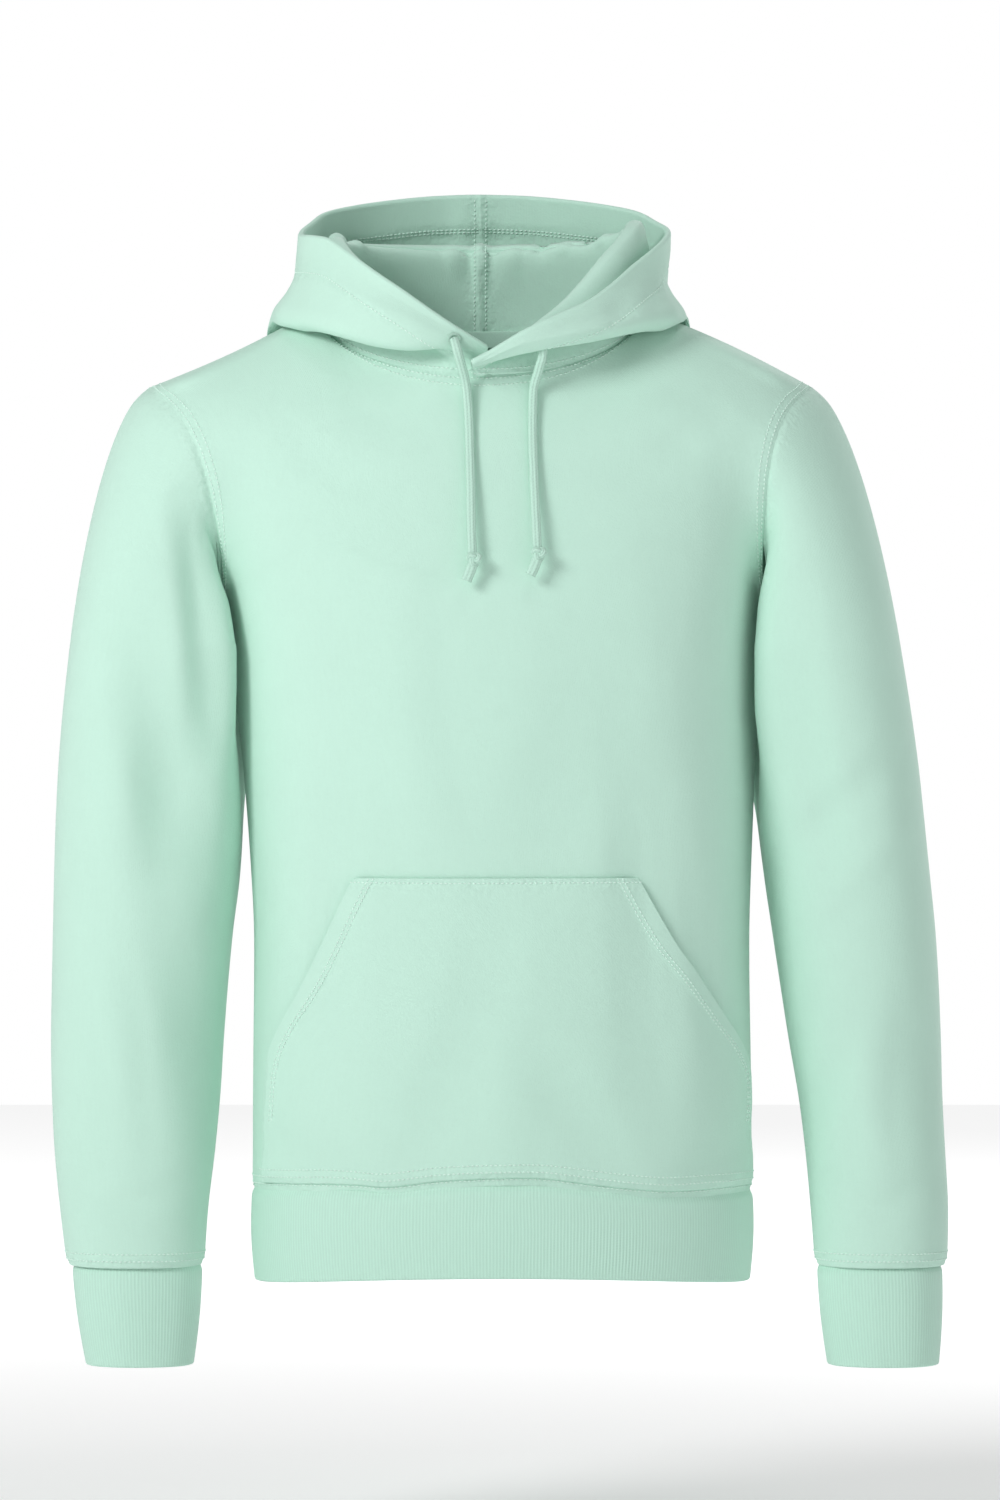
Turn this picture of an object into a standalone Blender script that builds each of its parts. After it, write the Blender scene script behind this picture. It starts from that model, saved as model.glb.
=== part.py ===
"""Pullover hoodie in heavy brushed fleece, worn shape with no wearer.

Metres, +Z up. The origin is where the wearer's neck and shoulders carry the garment, in the
middle of the shoulders. +X is the wearer's left, and the chest faces -Y. Every piece is a wall
of cloth that a maker cuts: front, back, two sleeves, two cuffs, hem rib, kangaroo pocket, two
hood halves, back neck tape, and the two ends of the drawcord with their knots and eyelets.
"""
from math import cos, pi, radians, sin

import bmesh
import bpy
import numpy as np
from mathutils import Vector
from mathutils.bvhtree import BVHTree

# Cloth
FLEECE = 0.0022
RIB = 0.0026
HOOD_CLOTH = 0.0022
CASING_EXTRA = 0.0022
CASING_WIDTH = 0.026
TAPE = 0.0010
SEAM_GAP = 0.0003
LAID_GAP = 0.0008
REST_GAP = 0.0032
HOOD_REST_GAP = 0.0040
HOOD_REACH = 0.030
HOOD_PASSES = 3
BESIDE_START = 0.45
BESIDE_LEAST = 0.10
BESIDE_SOFT = 0.0012
BESIDE_LOOK = (-0.012, -0.006, 0.0, 0.006, 0.012)

# Heights of the main lines
HEM_SEAM_Z = -0.609
HEM_FRONT_RISE = 0.008
HEM_BOTTOM_Z = -0.669
CUFF_SEAM_Z = -0.658
CUFF_BOTTOM_Z = -0.7265

# Neckline, an oval ring that stands a little to the wearer's right of the middle
NECK_X = -0.014
NECK_HALF_WIDTH = 0.115
NECK_FRONT = 0.088
NECK_BACK = 0.078
NECK_POINT_Z = 0.008
NECK_FRONT_DROP = 0.050
NECK_BACK_DROP = 0.018

# Torso by height: half widths on the wearer's right and left, depth of front and back
TORSO = {
    "z": (-0.609, -0.540, -0.440, -0.350, -0.260, -0.200, -0.120, -0.047),
    "right": (0.1732, 0.1735, 0.1732, 0.1780, 0.1870, 0.1945, 0.2050, 0.2460),
    "left": (0.1765, 0.1765, 0.1757, 0.1785, 0.1825, 0.1860, 0.1860, 0.2190),
    "front": (0.124, 0.124, 0.122, 0.122, 0.124, 0.125, 0.118, 0.100),
    "back": (0.110, 0.108, 0.102, 0.101, 0.107, 0.112, 0.112, 0.098),
}

# Armhole from the underarm up to the shoulder tip, one row a height
ARMHOLE = {
    "z": (-0.200, -0.172, -0.132, -0.097, -0.071, -0.055, -0.047),
    "right": (0.1945, 0.1945, 0.1990, 0.2080, 0.2210, 0.2360, 0.2460),
    "left": (0.1860, 0.1835, 0.1840, 0.1880, 0.1970, 0.2090, 0.2190),
    "front": (0.000, 0.036, 0.062, 0.070, 0.058, 0.034, 0.000),
    "back": (0.000, 0.036, 0.060, 0.066, 0.056, 0.034, 0.000),
}
SHOULDER_CROWN = {"right": -0.003, "left": 0.003}
SECTION_POWER = 0.78
SIDE_BLEND = 3
ROLL_START = 0.74
ROLL_POWERS = (1.35, 2.1)
NECK_REACH = (0.1, 0.7)
EASE_DEPTH = 4
EASE_PASSES = 5

# Sleeve below the underarm: outer and inner edge seen from the front, depth and its centre
SLEEVES = {
    "right": {
        "z": (-0.235, -0.300, -0.370, -0.440, -0.500, -0.560, -0.615, -0.660),
        "outer": (0.3020, 0.3087, 0.3120, 0.3133, 0.3140, 0.3123, 0.3073, 0.3016),
        "inner": (0.1640, 0.1730, 0.1800, 0.1883, 0.1930, 0.1967, 0.2030, 0.2060),
        "depth": (0.0740, 0.0730, 0.0700, 0.0660, 0.0620, 0.0570, 0.0520, 0.0470),
        "centre": (0.004, 0.008, 0.008, 0.004, -0.002, -0.010, -0.018, -0.024),
    },
    "left": {
        "z": (-0.235, -0.300, -0.370, -0.440, -0.500, -0.560, -0.615, -0.660),
        "outer": (0.2816, 0.2918, 0.2993, 0.3058, 0.3083, 0.3095, 0.3125, 0.3115),
        "inner": (0.1580, 0.1680, 0.1820, 0.1925, 0.2015, 0.2110, 0.2162, 0.2194),
        "depth": (0.0740, 0.0730, 0.0700, 0.0660, 0.0620, 0.0570, 0.0520, 0.0470),
        "centre": (0.004, 0.008, 0.008, 0.004, -0.002, -0.010, -0.018, -0.024),
    },
}
# Sleeve cap: how far it sets out sideways and down from the underarm and from the shoulder
# tip, and how strongly it is drawn into the tube below
CAP_OUT = (0.020, 0.090)
CAP_DOWN = (0.010, 0.055)
CAP_ARRIVE = (0.05, 0.18)
# Cuffs: edges and depth at the seam and at the open end
CUFFS = {
    "right": {"outer": (0.2981, 0.2881), "inner": (0.2072, 0.2129), "depth": (0.0435, 0.0370)},
    "left": {"outer": (0.3080, 0.3055), "inner": (0.2207, 0.2275), "depth": (0.0435, 0.0380)},
}
CUFF_CENTRE_Y = (-0.0240, -0.0300)

# Broad folds pressed into the sleeves: height, angle round the sleeve from the side of the
# body over the front, depth, half length along the sleeve and half width round it
SLEEVE_FOLDS = {
    "right": (
        {"z": -0.330, "angle": 75, "deep": 0.0065, "tall": 0.100, "wide": 30},
        {"z": -0.560, "angle": 110, "deep": 0.0040, "tall": 0.050, "wide": 60},
        {"z": -0.400, "angle": 255, "deep": 0.0060, "tall": 0.080, "wide": 35},
    ),
    "left": (
        {"z": -0.350, "angle": 80, "deep": 0.0050, "tall": 0.110, "wide": 32},
        {"z": -0.520, "angle": 120, "deep": 0.0040, "tall": 0.060, "wide": 50},
        {"z": -0.410, "angle": 260, "deep": 0.0060, "tall": 0.070, "wide": 38},
    ),
}

# Broad vertical waves of the front and the back below the chest
PANEL_WAVES = (
    {"across": -0.50, "wide": 0.16, "deep": 0.0030, "low": -0.58, "high": -0.25},
    {"across": 0.40, "wide": 0.14, "deep": 0.0035, "low": -0.60, "high": -0.30},
    {"across": 0.68, "wide": 0.10, "deep": 0.0040, "low": -0.57, "high": -0.33},
)

# Pocket: reach across the front at each height, as a share of the half front
POCKET = {
    "z": (-0.604, -0.560, -0.530, -0.512, -0.470, -0.430, -0.389),
    "right": (0.800, 0.795, 0.790, 0.770, 0.640, 0.530, 0.420),
    "left": (0.890, 0.895, 0.900, 0.855, 0.670, 0.540, 0.420),
}
POCKET_LIFT = 0.0022

# Hood, by the angle round the neck from the middle of the back to the middle of the front.
# "out" is measured outward from the neck seam and "z" is a height: the ridge where the neck
# wall turns over, the bag that hangs outside it, its belly, and the rim of the face opening.
# "flat" is how far the folds are let out where the two fronts cross, the left over the right.
HOOD = {
    "right": {
        "angle": (0, 45, 67, 90, 120, 150, 165, 176, 187),
        "seam_out": (0.0, 0.0, 0.0, 0.0, 0.0, 0.0, 0.0, 0.0, 0.0),
        "ridge_out": (-0.006, -0.010, -0.012, -0.014, -0.012, -0.006, -0.002, 0.0, 0.001),
        "ridge_z": (0.0505, 0.0520, 0.0540, 0.0560, 0.0400, 0.0040, -0.0130, -0.0240, -0.0330),
        "bag_out": (0.058, 0.056, 0.031, 0.022, 0.018, 0.016, 0.0125, 0.0065, 0.002),
        "bag_z": (-0.152, -0.098, -0.045, -0.008, -0.011, -0.0265, -0.0345, -0.0380, -0.0390),
        "bag_half": (0.015, 0.014, 0.012, 0.010, 0.008, 0.007, 0.005, 0.003, 0.002),
        "belly_out": (0.092, 0.076, 0.031, 0.0170, 0.0180, 0.0235, 0.0180, 0.0080, 0.0020),
        "belly_z": (-0.055, -0.030, 0.0020, 0.0250, 0.0200, 0.0010, -0.0160, -0.0260, -0.0340),
        "rim_out": (0.042, 0.031, 0.0185, 0.0125, 0.0120, 0.0200, 0.0155, 0.0070, 0.0010),
        "rim_z": (0.0950, 0.0820, 0.0680, 0.0585, 0.0530, 0.0235, -0.0005, -0.0165, -0.0300),
        "flat": (0, 0, 0, 0, 0, 0.05, 0.40, 1, 1),
    },
    "left": {
        "angle": (0, 45, 67, 90, 120, 150, 165, 176, 187),
        "seam_out": (0.0, 0.0, 0.0, 0.0, 0.0, 0.0, 0.0028, 0.0072, 0.0076),
        "ridge_out": (-0.006, -0.008, -0.007, -0.006, -0.008, -0.005, 0.002, 0.0070, 0.0110),
        "ridge_z": (0.0505, 0.0545, 0.0610, 0.0665, 0.0450, 0.0040, -0.0150, -0.0290, -0.0400),
        "bag_out": (0.058, 0.056, 0.031, 0.020, 0.021, 0.020, 0.0185, 0.0150, 0.0120),
        "bag_z": (-0.152, -0.098, -0.045, -0.008, -0.011, -0.0225, -0.0285, -0.0355, -0.0420),
        "bag_half": (0.015, 0.014, 0.012, 0.010, 0.009, 0.008, 0.006, 0.0035, 0.002),
        "belly_out": (0.092, 0.075, 0.030, 0.0160, 0.0220, 0.0270, 0.0255, 0.0205, 0.0150),
        "belly_z": (-0.055, -0.030, 0.0020, 0.0250, 0.0130, -0.0070, -0.0190, -0.0320, -0.0430),
        "rim_out": (0.042, 0.032, 0.0240, 0.0185, 0.0140, 0.0220, 0.0235, 0.0205, 0.0165),
        "rim_z": (0.0950, 0.0825, 0.0690, 0.0590, 0.0370, 0.0030, -0.0113, -0.0285, -0.0440),
        "flat": (0, 0, 0, 0, 0, 0, 0, 0.35, 1),
    },
}
RIDGE_HALF = 0.0045
HOOD_OVERLAP_DEGREES = {"right": 2.7, "left": 2.0}

# Drawcord ends: route of each from where it comes out of the hood down to its knot
CORD_DIAMETER = 0.0060
CORD_STEP = 0.012
CORD_ROUTES = {
    "right": (
        (-0.0314, -0.0994, -0.0193),
        (-0.0308, -0.1040, -0.0212),
        (-0.0298, -0.1062, -0.0252),
        (-0.0282, -0.1050, -0.0310),
        (-0.0260, -0.1005, -0.0390),
        (-0.0235, -0.0955, -0.0493),
        (-0.0220, -0.0965, -0.0640),
        (-0.0212, -0.1002, -0.0801),
        (-0.0205, -0.1084, -0.1047),
        (-0.0200, -0.1138, -0.1220),
        (-0.0198, -0.1186, -0.1409),
        (-0.0191, -0.1234, -0.1640),
    ),
    "left": (
        (0.0288, -0.1000, -0.0318),
        (0.0276, -0.0972, -0.0360),
        (0.0260, -0.0940, -0.0415),
        (0.0240, -0.0915, -0.0480),
        (0.0228, -0.0912, -0.0555),
        (0.0223, -0.0965, -0.0740),
        (0.0225, -0.1032, -0.0924),
        (0.0232, -0.1094, -0.1110),
        (0.0239, -0.1152, -0.1293),
        (0.0246, -0.1192, -0.1450),
        (0.0253, -0.1226, -0.1600),
    ),
}
# Knot centres, and the short tail that each knot leaves
KNOTS = {"right": (-0.0176, -0.1262, -0.1706), "left": (0.0264, -0.1252, -0.1668)}
KNOT_SIZE = (0.0060, 0.0043, 0.0056)
KNOT_WRAP = {"deep": 0.10, "up": 3, "across": 2}
TAILS = {
    "right": ((-0.0196, -0.1264, -0.1768), (-0.0214, -0.1264, -0.1810), (-0.0230, -0.1262, -0.1853)),
    "left": ((0.0248, -0.1258, -0.1730), (0.0228, -0.1260, -0.1770), (0.0207, -0.1260, -0.1812)),
}
EYELET = {"centre": (-0.0314, -0.0193), "inside": 0.0030, "outside": 0.0050, "thick": 0.0008}
EYELET_SIDES = 16
TAPE_HEIGHT = 0.011
TAPE_SPREAD_DEGREES = 62
TAPE_COLUMNS = 14

# How finely each piece is divided
SHOULDER_COLUMNS = 6
NECK_FRONT_COLUMNS = 16
NECK_BACK_COLUMNS = 14
SIDE_ROWS = 11
ARMHOLE_ROWS = 9
SLEEVE_ROWS = 18
CAP_ROWS = 7
HEM_COLUMNS = 44
BAND_ROWS = 4
POCKET_COLUMNS = 22
POCKET_ROWS = 10
HOOD_ROWS = 24

MINT = (0.52, 0.84, 0.69, 1.0)
MINT_RIB = (0.50, 0.82, 0.67, 1.0)
MINT_CORD = (0.46, 0.80, 0.64, 1.0)
SIDES = {"right": -1, "left": 1}


def clear_scene():
    for item in list(bpy.data.objects):
        bpy.data.objects.remove(item, do_unlink=True)


def smooth_through(places, values, at):
    """Read a smooth curve through (places, values): cubic between rows, with no overshoot."""
    places = np.asarray(places, float)
    values = np.asarray(values, float)
    at = np.clip(np.asarray(at, float), places[0], places[-1])
    steps = np.diff(places)
    slopes = np.diff(values) / steps
    tangents = np.zeros_like(values)
    tangents[0] = slopes[0]
    tangents[-1] = slopes[-1]
    same_way = slopes[:-1] * slopes[1:] > 0
    mean = 2 * slopes[:-1] * slopes[1:] / np.where(same_way, slopes[:-1] + slopes[1:], 1)
    tangents[1:-1] = np.where(same_way, mean, 0)
    row = np.clip(np.searchsorted(places, at, side="right") - 1, 0, len(steps) - 1)
    share = (at - places[row]) / steps[row]
    start = values[row] * (1 + 2 * share) * (1 - share) ** 2
    end = values[row + 1] * share**2 * (3 - 2 * share)
    bend = tangents[row] * (1 - share) - tangents[row + 1] * share
    return start + end + bend * steps[row] * share * (1 - share)


def along(points, count, closed=False):
    """Points spread along a smooth Catmull-Rom curve through the given points."""
    points = np.asarray(points, float)
    if closed:
        padded = np.vstack((points[-1:], points, points[:2]))
        spans = len(points)
    else:
        first = 2 * points[0] - points[1]
        last = 2 * points[-1] - points[-2]
        padded = np.vstack((first, points, last))
        spans = len(points) - 1
    at = np.linspace(0, spans, count + 1)
    span = np.minimum(at.astype(int), spans - 1)
    share = (at - span)[:, None]
    before, start, end, after = (padded[span + k] for k in range(4))
    return 0.5 * (
        2 * start
        + (end - before) * share
        + (2 * before - 5 * start + 4 * end - after) * share**2
        + (3 * start - before - 3 * end + after) * share**3
    )


def unit(vectors):
    length = np.linalg.norm(vectors, axis=-1, keepdims=True)
    return vectors / np.maximum(length, 1e-12)


def grid_normals(grid, closed, flip):
    """Outward normals of a grid of points (rows, columns), columns running round if closed."""
    if closed:
        across = np.roll(grid, -1, axis=1) - np.roll(grid, 1, axis=1)
    else:
        across = np.gradient(grid, axis=1)
    upward = np.gradient(grid, axis=0)
    normals = unit(np.cross(across, upward))
    return -normals if flip else normals


def bump(distance):
    """A soft hump of height 1 that reaches 0 at distance 1."""
    return np.where(np.abs(distance) < 1, (1 - np.minimum(distance**2, 1)) ** 2, 0.0)


def material(name, colour, roughness):
    finish = bpy.data.materials.new(name)
    finish.use_nodes = True
    surface = finish.node_tree.nodes["Principled BSDF"]
    surface.inputs["Base Color"].default_value = colour
    surface.inputs["Roughness"].default_value = roughness
    surface.inputs["Metallic"].default_value = 0.0
    return finish


def add_object(name, vertices, faces, finish):
    mesh = bpy.data.meshes.new(name)
    mesh.from_pydata([tuple(v) for v in vertices], [], faces)
    mesh.materials.append(finish)
    mesh.validate()
    mesh.shade_smooth()
    mesh.set_sharp_from_angle(angle=radians(50))
    piece = bpy.data.objects.new(name, mesh)
    bpy.context.scene.collection.objects.link(piece)
    return piece


def wall(name, outer, inner, finish, closed=False, flip=False):
    """A closed wall between an outer and an inner grid of points, with its edges."""
    rows, columns = outer.shape[:2]
    count = rows * columns
    vertices = np.vstack((outer.reshape(-1, 3), inner.reshape(-1, 3)))
    spans = columns if closed else columns - 1
    faces = []

    def add(corners):
        faces.append(tuple(reversed(corners)) if flip else tuple(corners))

    for i in range(rows - 1):
        for j in range(spans):
            k = (j + 1) % columns
            a, b = i * columns + j, i * columns + k
            c, d = (i + 1) * columns + k, (i + 1) * columns + j
            add((a, b, c, d))
            add((count + d, count + c, count + b, count + a))
    for j in range(spans):
        k = (j + 1) % columns
        top = (rows - 1) * columns
        add((k, j, count + j, count + k))
        add((top + j, top + k, count + top + k, count + top + j))
    if not closed:
        for i in range(rows - 1):
            a, d = i * columns, (i + 1) * columns
            b, c = a + columns - 1, d + columns - 1
            add((a, d, count + d, count + a))
            add((c, b, count + b, count + c))
    return add_object(name, vertices, faces, finish)


def torso_tree(panels):
    """A search tree of the front and the back together, for finding what lies on them."""
    points, faces = [], []
    for face in ("front", "back"):
        grid = panels[face][0] if face == "front" else panels[face][0][:, ::-1]
        rows, columns = grid.shape[:2]
        start = len(points)
        points += [tuple(p) for p in grid.reshape(-1, 3)]
        for i in range(rows - 1):
            low = start + i * columns
            for j in range(low, low + columns - 1):
                faces.append((j, j + 1, j + columns + 1, j + columns))
    return BVHTree.FromPolygons(points, faces)


def rest_on(points, tree, gap, reach):
    """Move points out of the surface in the tree until they lie a gap away from it."""
    moved = points.copy()
    for index in np.ndindex(points.shape[:-1]):
        place = Vector(points[index])
        near, normal, _, distance = tree.find_nearest(place, reach)
        if near is None:
            continue
        height = (place - near).dot(normal)
        past_edge = abs(height) < 0.8 * distance
        if height < gap and not past_edge:
            moved[index] += np.array(normal) * (gap - height)
    return moved


# ---------------------------------------------------------------- seams that pieces share


def neck_ring(angle):
    """A point of the neckline. Angles run from the middle of the back, + to the wearer's left."""
    back = cos(angle) >= 0
    depth = NECK_BACK if back else NECK_FRONT
    drop = NECK_BACK_DROP if back else NECK_FRONT_DROP
    return np.array((
        NECK_X + NECK_HALF_WIDTH * sin(angle),
        depth * cos(angle),
        NECK_POINT_Z - drop * abs(cos(angle)),
    ))


def armhole_ring(side):
    """Closed armhole curve: underarm, up the front, shoulder tip, down the back."""
    sign = SIDES[side]
    across = [sign * x for x in ARMHOLE[side]]
    front = [(x, -y, z) for x, y, z in zip(across, ARMHOLE["front"], ARMHOLE["z"])]
    back = [(x, y, z) for x, y, z in zip(across, ARMHOLE["back"], ARMHOLE["z"])]
    return along(front + back[-2:0:-1], 2 * ARMHOLE_ROWS, closed=True)[:-1]


def side_edge(side, face):
    """Edge of a panel: the side seam from the hem up, then the armhole to the shoulder tip."""
    sign = SIDES[side]
    ring = armhole_ring(side)
    if face == "front":
        armhole = ring[: ARMHOLE_ROWS + 1]
    else:
        armhole = np.vstack((ring[:1], ring[: ARMHOLE_ROWS - 1 : -1]))
    heights = np.linspace(HEM_SEAM_Z, armhole[0, 2], SIDE_ROWS + 1)[:-1]
    across = smooth_through(TORSO["z"], TORSO[side], heights) * sign
    seam = np.column_stack((across, np.zeros(SIDE_ROWS), heights))
    return np.vstack((seam, armhole))


def top_edge(face):
    """Shoulder seam, neckline, shoulder seam, from the wearer's right to the left."""
    columns = NECK_FRONT_COLUMNS if face == "front" else NECK_BACK_COLUMNS
    start, end = (-pi / 2, -3 * pi / 2) if face == "front" else (-pi / 2, pi / 2)
    neck = np.array([neck_ring(a) for a in np.linspace(start, end, columns + 1)])
    shoulders = []
    for side, point in (("right", neck[0]), ("left", neck[-1])):
        tip = armhole_ring(side)[ARMHOLE_ROWS]
        share = np.linspace(0, 1, SHOULDER_COLUMNS + 1)[:-1, None]
        line = tip + (point - tip) * share
        line[:, 2] += SHOULDER_CROWN[side] * np.sin(pi * share[:, 0])
        shoulders.append(line)
    return np.vstack((shoulders[0], neck, shoulders[1][::-1]))


# ---------------------------------------------------------------- front and back panels


def ease_across(grid):
    """Even out each row below the neckline, and leave the panel's own edges as they are."""
    row = np.arange(len(grid))
    inside = np.minimum(row, row[::-1]) / EASE_DEPTH
    weight = 0.5 * np.minimum(inside, 1)[:, None, None]
    for _ in range(EASE_PASSES):
        middle = (grid[:, :-2] + grid[:, 2:]) / 2
        grid[:, 1:-1] += (middle - grid[:, 1:-1]) * weight


def panel_grid(face):
    """Outer points of the front or back: rows from hem to shoulder, columns right to left."""
    forward = -1 if face == "front" else 1
    top = top_edge(face)
    right = side_edge("right", face)
    left = side_edge("left", face)
    columns = len(top)
    across = np.linspace(-1, 1, columns)
    turn = across * pi / 2
    rise = HEM_FRONT_RISE * np.cos(turn) ** 2 if face == "front" else 0 * turn
    edge = {"right": TORSO["right"][0], "left": TORSO["left"][0]}
    bottom_x = np.where(across < 0, edge["right"], edge["left"]) * np.sin(turn)
    bottom_z = HEM_SEAM_Z + rise
    grid = np.zeros((len(right), columns, 3))
    pull_right = ((1 - across) / 2) ** SIDE_BLEND
    pull_left = ((1 + across) / 2) ** SIDE_BLEND
    for i in range(len(right)):
        r, l = right[i], left[i]
        share = (r[2] - HEM_SEAM_Z) / (top[0, 2] - HEM_SEAM_Z)
        share_left = (l[2] - HEM_SEAM_Z) / (top[-1, 2] - HEM_SEAM_Z)
        height = share + (share_left - share) * (across + 1) / 2
        base_x = (1 - height) * bottom_x + height * top[:, 0]
        x = base_x + pull_right * (r[0] - base_x[0]) + pull_left * (l[0] - base_x[-1])
        z = (1 - height) * bottom_z + height * top[:, 2]
        lateral = np.clip(np.where(x < 0, x / -r[0], x / l[0]), -1, 1)
        section = (1 - lateral**2) ** (SECTION_POWER / 2)
        depth = smooth_through(TORSO["z"], TORSO[face], z)
        ends = r[1] + (l[1] - r[1]) * (lateral + 1) / 2
        row = ends + (forward * depth - ends) * section
        outward = smooth_through(NECK_REACH, (0, 1), np.abs(lateral))
        roll_power = ROLL_POWERS[0] + (ROLL_POWERS[1] - ROLL_POWERS[0]) * outward
        rolled = np.clip((height - ROLL_START) / (1 - ROLL_START), 0, 1)
        stays = (1 - rolled**roll_power) ** (1 / roll_power)
        stays = 1 - (1 - stays) * (1 - lateral**6)
        grid[i] = np.column_stack((x, top[:, 1] + (row - top[:, 1]) * stays, z))
        grid[i, 0] = r
        grid[i, -1] = l
    ease_across(grid)
    for wave in PANEL_WAVES:
        middle = (wave["low"] + wave["high"]) / 2
        half = (wave["high"] - wave["low"]) / 2
        place = bump((across[None, :] - wave["across"] * -forward) / wave["wide"])
        tall = bump((grid[:, :, 2] - middle) / half)
        grid[:, :, 1] -= forward * wave["deep"] * place * tall
    return grid


def panel_walls(face):
    """Outer grid, inner grid and normals of a panel, clear of its seams by half a gap."""
    forward = -1 if face == "front" else 1
    grid = panel_grid(face)
    free = grid_normals(grid, False, face == "back")
    normals = free.copy()
    shoulder = SHOULDER_COLUMNS + 1
    for seam in (normals[:, :1], normals[:, -1:], normals[-1:, :shoulder], normals[-1:, -shoulder:]):
        seam[..., 1] = 0
        seam[...] = unit(seam)
    armhole = slice(SIDE_ROWS + 1, -1)
    for j in (0, -1):
        normals[armhole, j] = free[armhole, j]
    grid[:, 0, 1] += forward * SEAM_GAP / 2
    grid[:, -1, 1] += forward * SEAM_GAP / 2
    grid[-1, :shoulder, 1] = forward * SEAM_GAP / 2
    grid[-1, -shoulder:, 1] = forward * SEAM_GAP / 2
    return grid, grid - normals * FLEECE, normals


def build_panels(finish):
    grids = {}
    for face in ("front", "back"):
        outer, inner, normals = panel_walls(face)
        wall(f"{face}_panel", outer, inner, finish, flip=face == "back")
        grids[face] = (outer, normals)
    return grids


# ---------------------------------------------------------------- hem rib and cuffs


def oval(outer, inner, depth, centre_y, z, count, power=0.92):
    """A level oval ring between an outer and an inner edge, starting on its inner side."""
    turn = np.linspace(0, 2 * pi, count + 1)[:-1]
    half = (outer - inner) / 2
    middle = (outer + inner) / 2
    across = -np.sign(np.cos(turn)) * np.abs(np.cos(turn)) ** power
    deep = np.sign(np.sin(turn)) * np.abs(np.sin(turn)) ** power
    return np.column_stack((middle + half * across, centre_y - depth * deep, np.full(count, z)))


def build_hem(finish):
    """Rib band round the hem, a little fuller in its middle than at its ends."""
    turn = np.linspace(0, 2 * pi, HEM_COLUMNS + 1)[:-1]
    front = np.sin(turn) < 0
    rows = []
    for share in np.linspace(0, 1, BAND_ROWS + 1):
        swell = 0.0016 * sin(pi * share) - 0.0016 * share
        width = np.where(np.cos(turn) < 0, TORSO["right"][0], TORSO["left"][0]) + swell
        depth = np.where(front, TORSO["front"][0], TORSO["back"][0]) + swell - 0.0004
        x = width * np.cos(turn)
        y = depth * np.sign(np.sin(turn)) * np.abs(np.sin(turn)) ** SECTION_POWER
        rise = np.where(front, HEM_FRONT_RISE * np.sin(turn) ** 2, 0)
        z = HEM_SEAM_Z - SEAM_GAP + rise + (HEM_BOTTOM_Z - HEM_SEAM_Z) * share
        rows.append(np.column_stack((x, y, z)))
    outer = np.array(rows)
    normals = grid_normals(outer, True, True)
    normals[..., 2] = 0
    normals = unit(normals)
    wall("hem_rib", outer, outer - normals * RIB, finish, closed=True, flip=True)


def build_cuff(side, finish):
    """Rib cuff, pulled in below its seam and tapering to the open end."""
    sign = SIDES[side]
    sizes = CUFFS[side]
    rows = []
    for share in np.linspace(0, 1, BAND_ROWS + 1):
        swell = 0.0012 * sin(pi * share)
        size = {key: sizes[key][0] + (sizes[key][1] - sizes[key][0]) * share for key in sizes}
        centre_y = CUFF_CENTRE_Y[0] + (CUFF_CENTRE_Y[1] - CUFF_CENTRE_Y[0]) * share
        z = CUFF_SEAM_Z - SEAM_GAP + (CUFF_BOTTOM_Z - CUFF_SEAM_Z) * share
        ring = oval(sign * (size["outer"] + swell), sign * (size["inner"] - swell),
                    size["depth"] + swell, centre_y, z, 2 * ARMHOLE_ROWS)
        rows.append(ring)
    outer = np.array(rows)
    flip = side == "left"
    normals = grid_normals(outer, True, flip)
    normals[..., 2] = 0
    normals = unit(normals)
    wall(f"cuff_{side}", outer, outer - normals * RIB, finish, closed=True, flip=flip)


# ---------------------------------------------------------------- sleeves


def sleeve_ring(side, z):
    table = SLEEVES[side]
    sign = SIDES[side]
    size = {key: float(smooth_through(table["z"][::-1], table[key][::-1], z))
            for key in ("outer", "inner", "depth", "centre")}
    return oval(sign * size["outer"], sign * size["inner"], size["depth"], size["centre"], z,
                2 * ARMHOLE_ROWS)


def sleeve_grid(side, torso):
    """Sleeve from the armhole over the shoulder and down, resting against the body."""
    sign = SIDES[side]
    armhole = armhole_ring(side)
    armhole[:, 0] += sign * SEAM_GAP * 1.2
    table = SLEEVES[side]
    start_z = table["z"][0]
    first = sleeve_ring(side, start_z)
    below = sleeve_ring(side, start_z - 0.02)
    count = 2 * ARMHOLE_ROWS
    turn = np.linspace(0, 2 * pi, count + 1)[:-1]
    top = (1 - np.cos(turn)) / 2
    low_out, high_out = CAP_OUT
    low_down, high_down = CAP_DOWN
    low_pull, high_pull = CAP_ARRIVE
    leave = np.column_stack((
        sign * (low_out + (high_out - low_out) * top),
        np.zeros(count),
        -low_down - (high_down - low_down) * top,
    ))
    arrive = unit(below - first) * (low_pull + (high_pull - low_pull) * top)[:, None]
    rows = []
    for share in np.linspace(0, 1, CAP_ROWS + 1)[:-1]:
        a = (1 + 2 * share) * (1 - share) ** 2
        b = share**2 * (3 - 2 * share)
        c = share * (1 - share) ** 2
        d = -(share**2) * (1 - share)
        rows.append(a * armhole + b * first + c * leave + d * arrive)
    for z in np.linspace(start_z, CUFF_SEAM_Z, SLEEVE_ROWS - CAP_ROWS + 1):
        rows.append(sleeve_ring(side, z))
    grid = np.array(rows)
    degrees = np.degrees(turn)[None, :]
    middle = grid.mean(axis=1, keepdims=True)
    inward = unit((middle - grid) * np.array((1, 1, 0)))
    for fold in SLEEVE_FOLDS[side]:
        press = bump((grid[:, :, 2] - fold["z"]) / fold["tall"]) * bump(
            (degrees - fold["angle"]) / fold["wide"])
        grid += inward * (fold["deep"] * press)[..., None]
    hang_beside(grid, sign, torso)
    return grid


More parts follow.
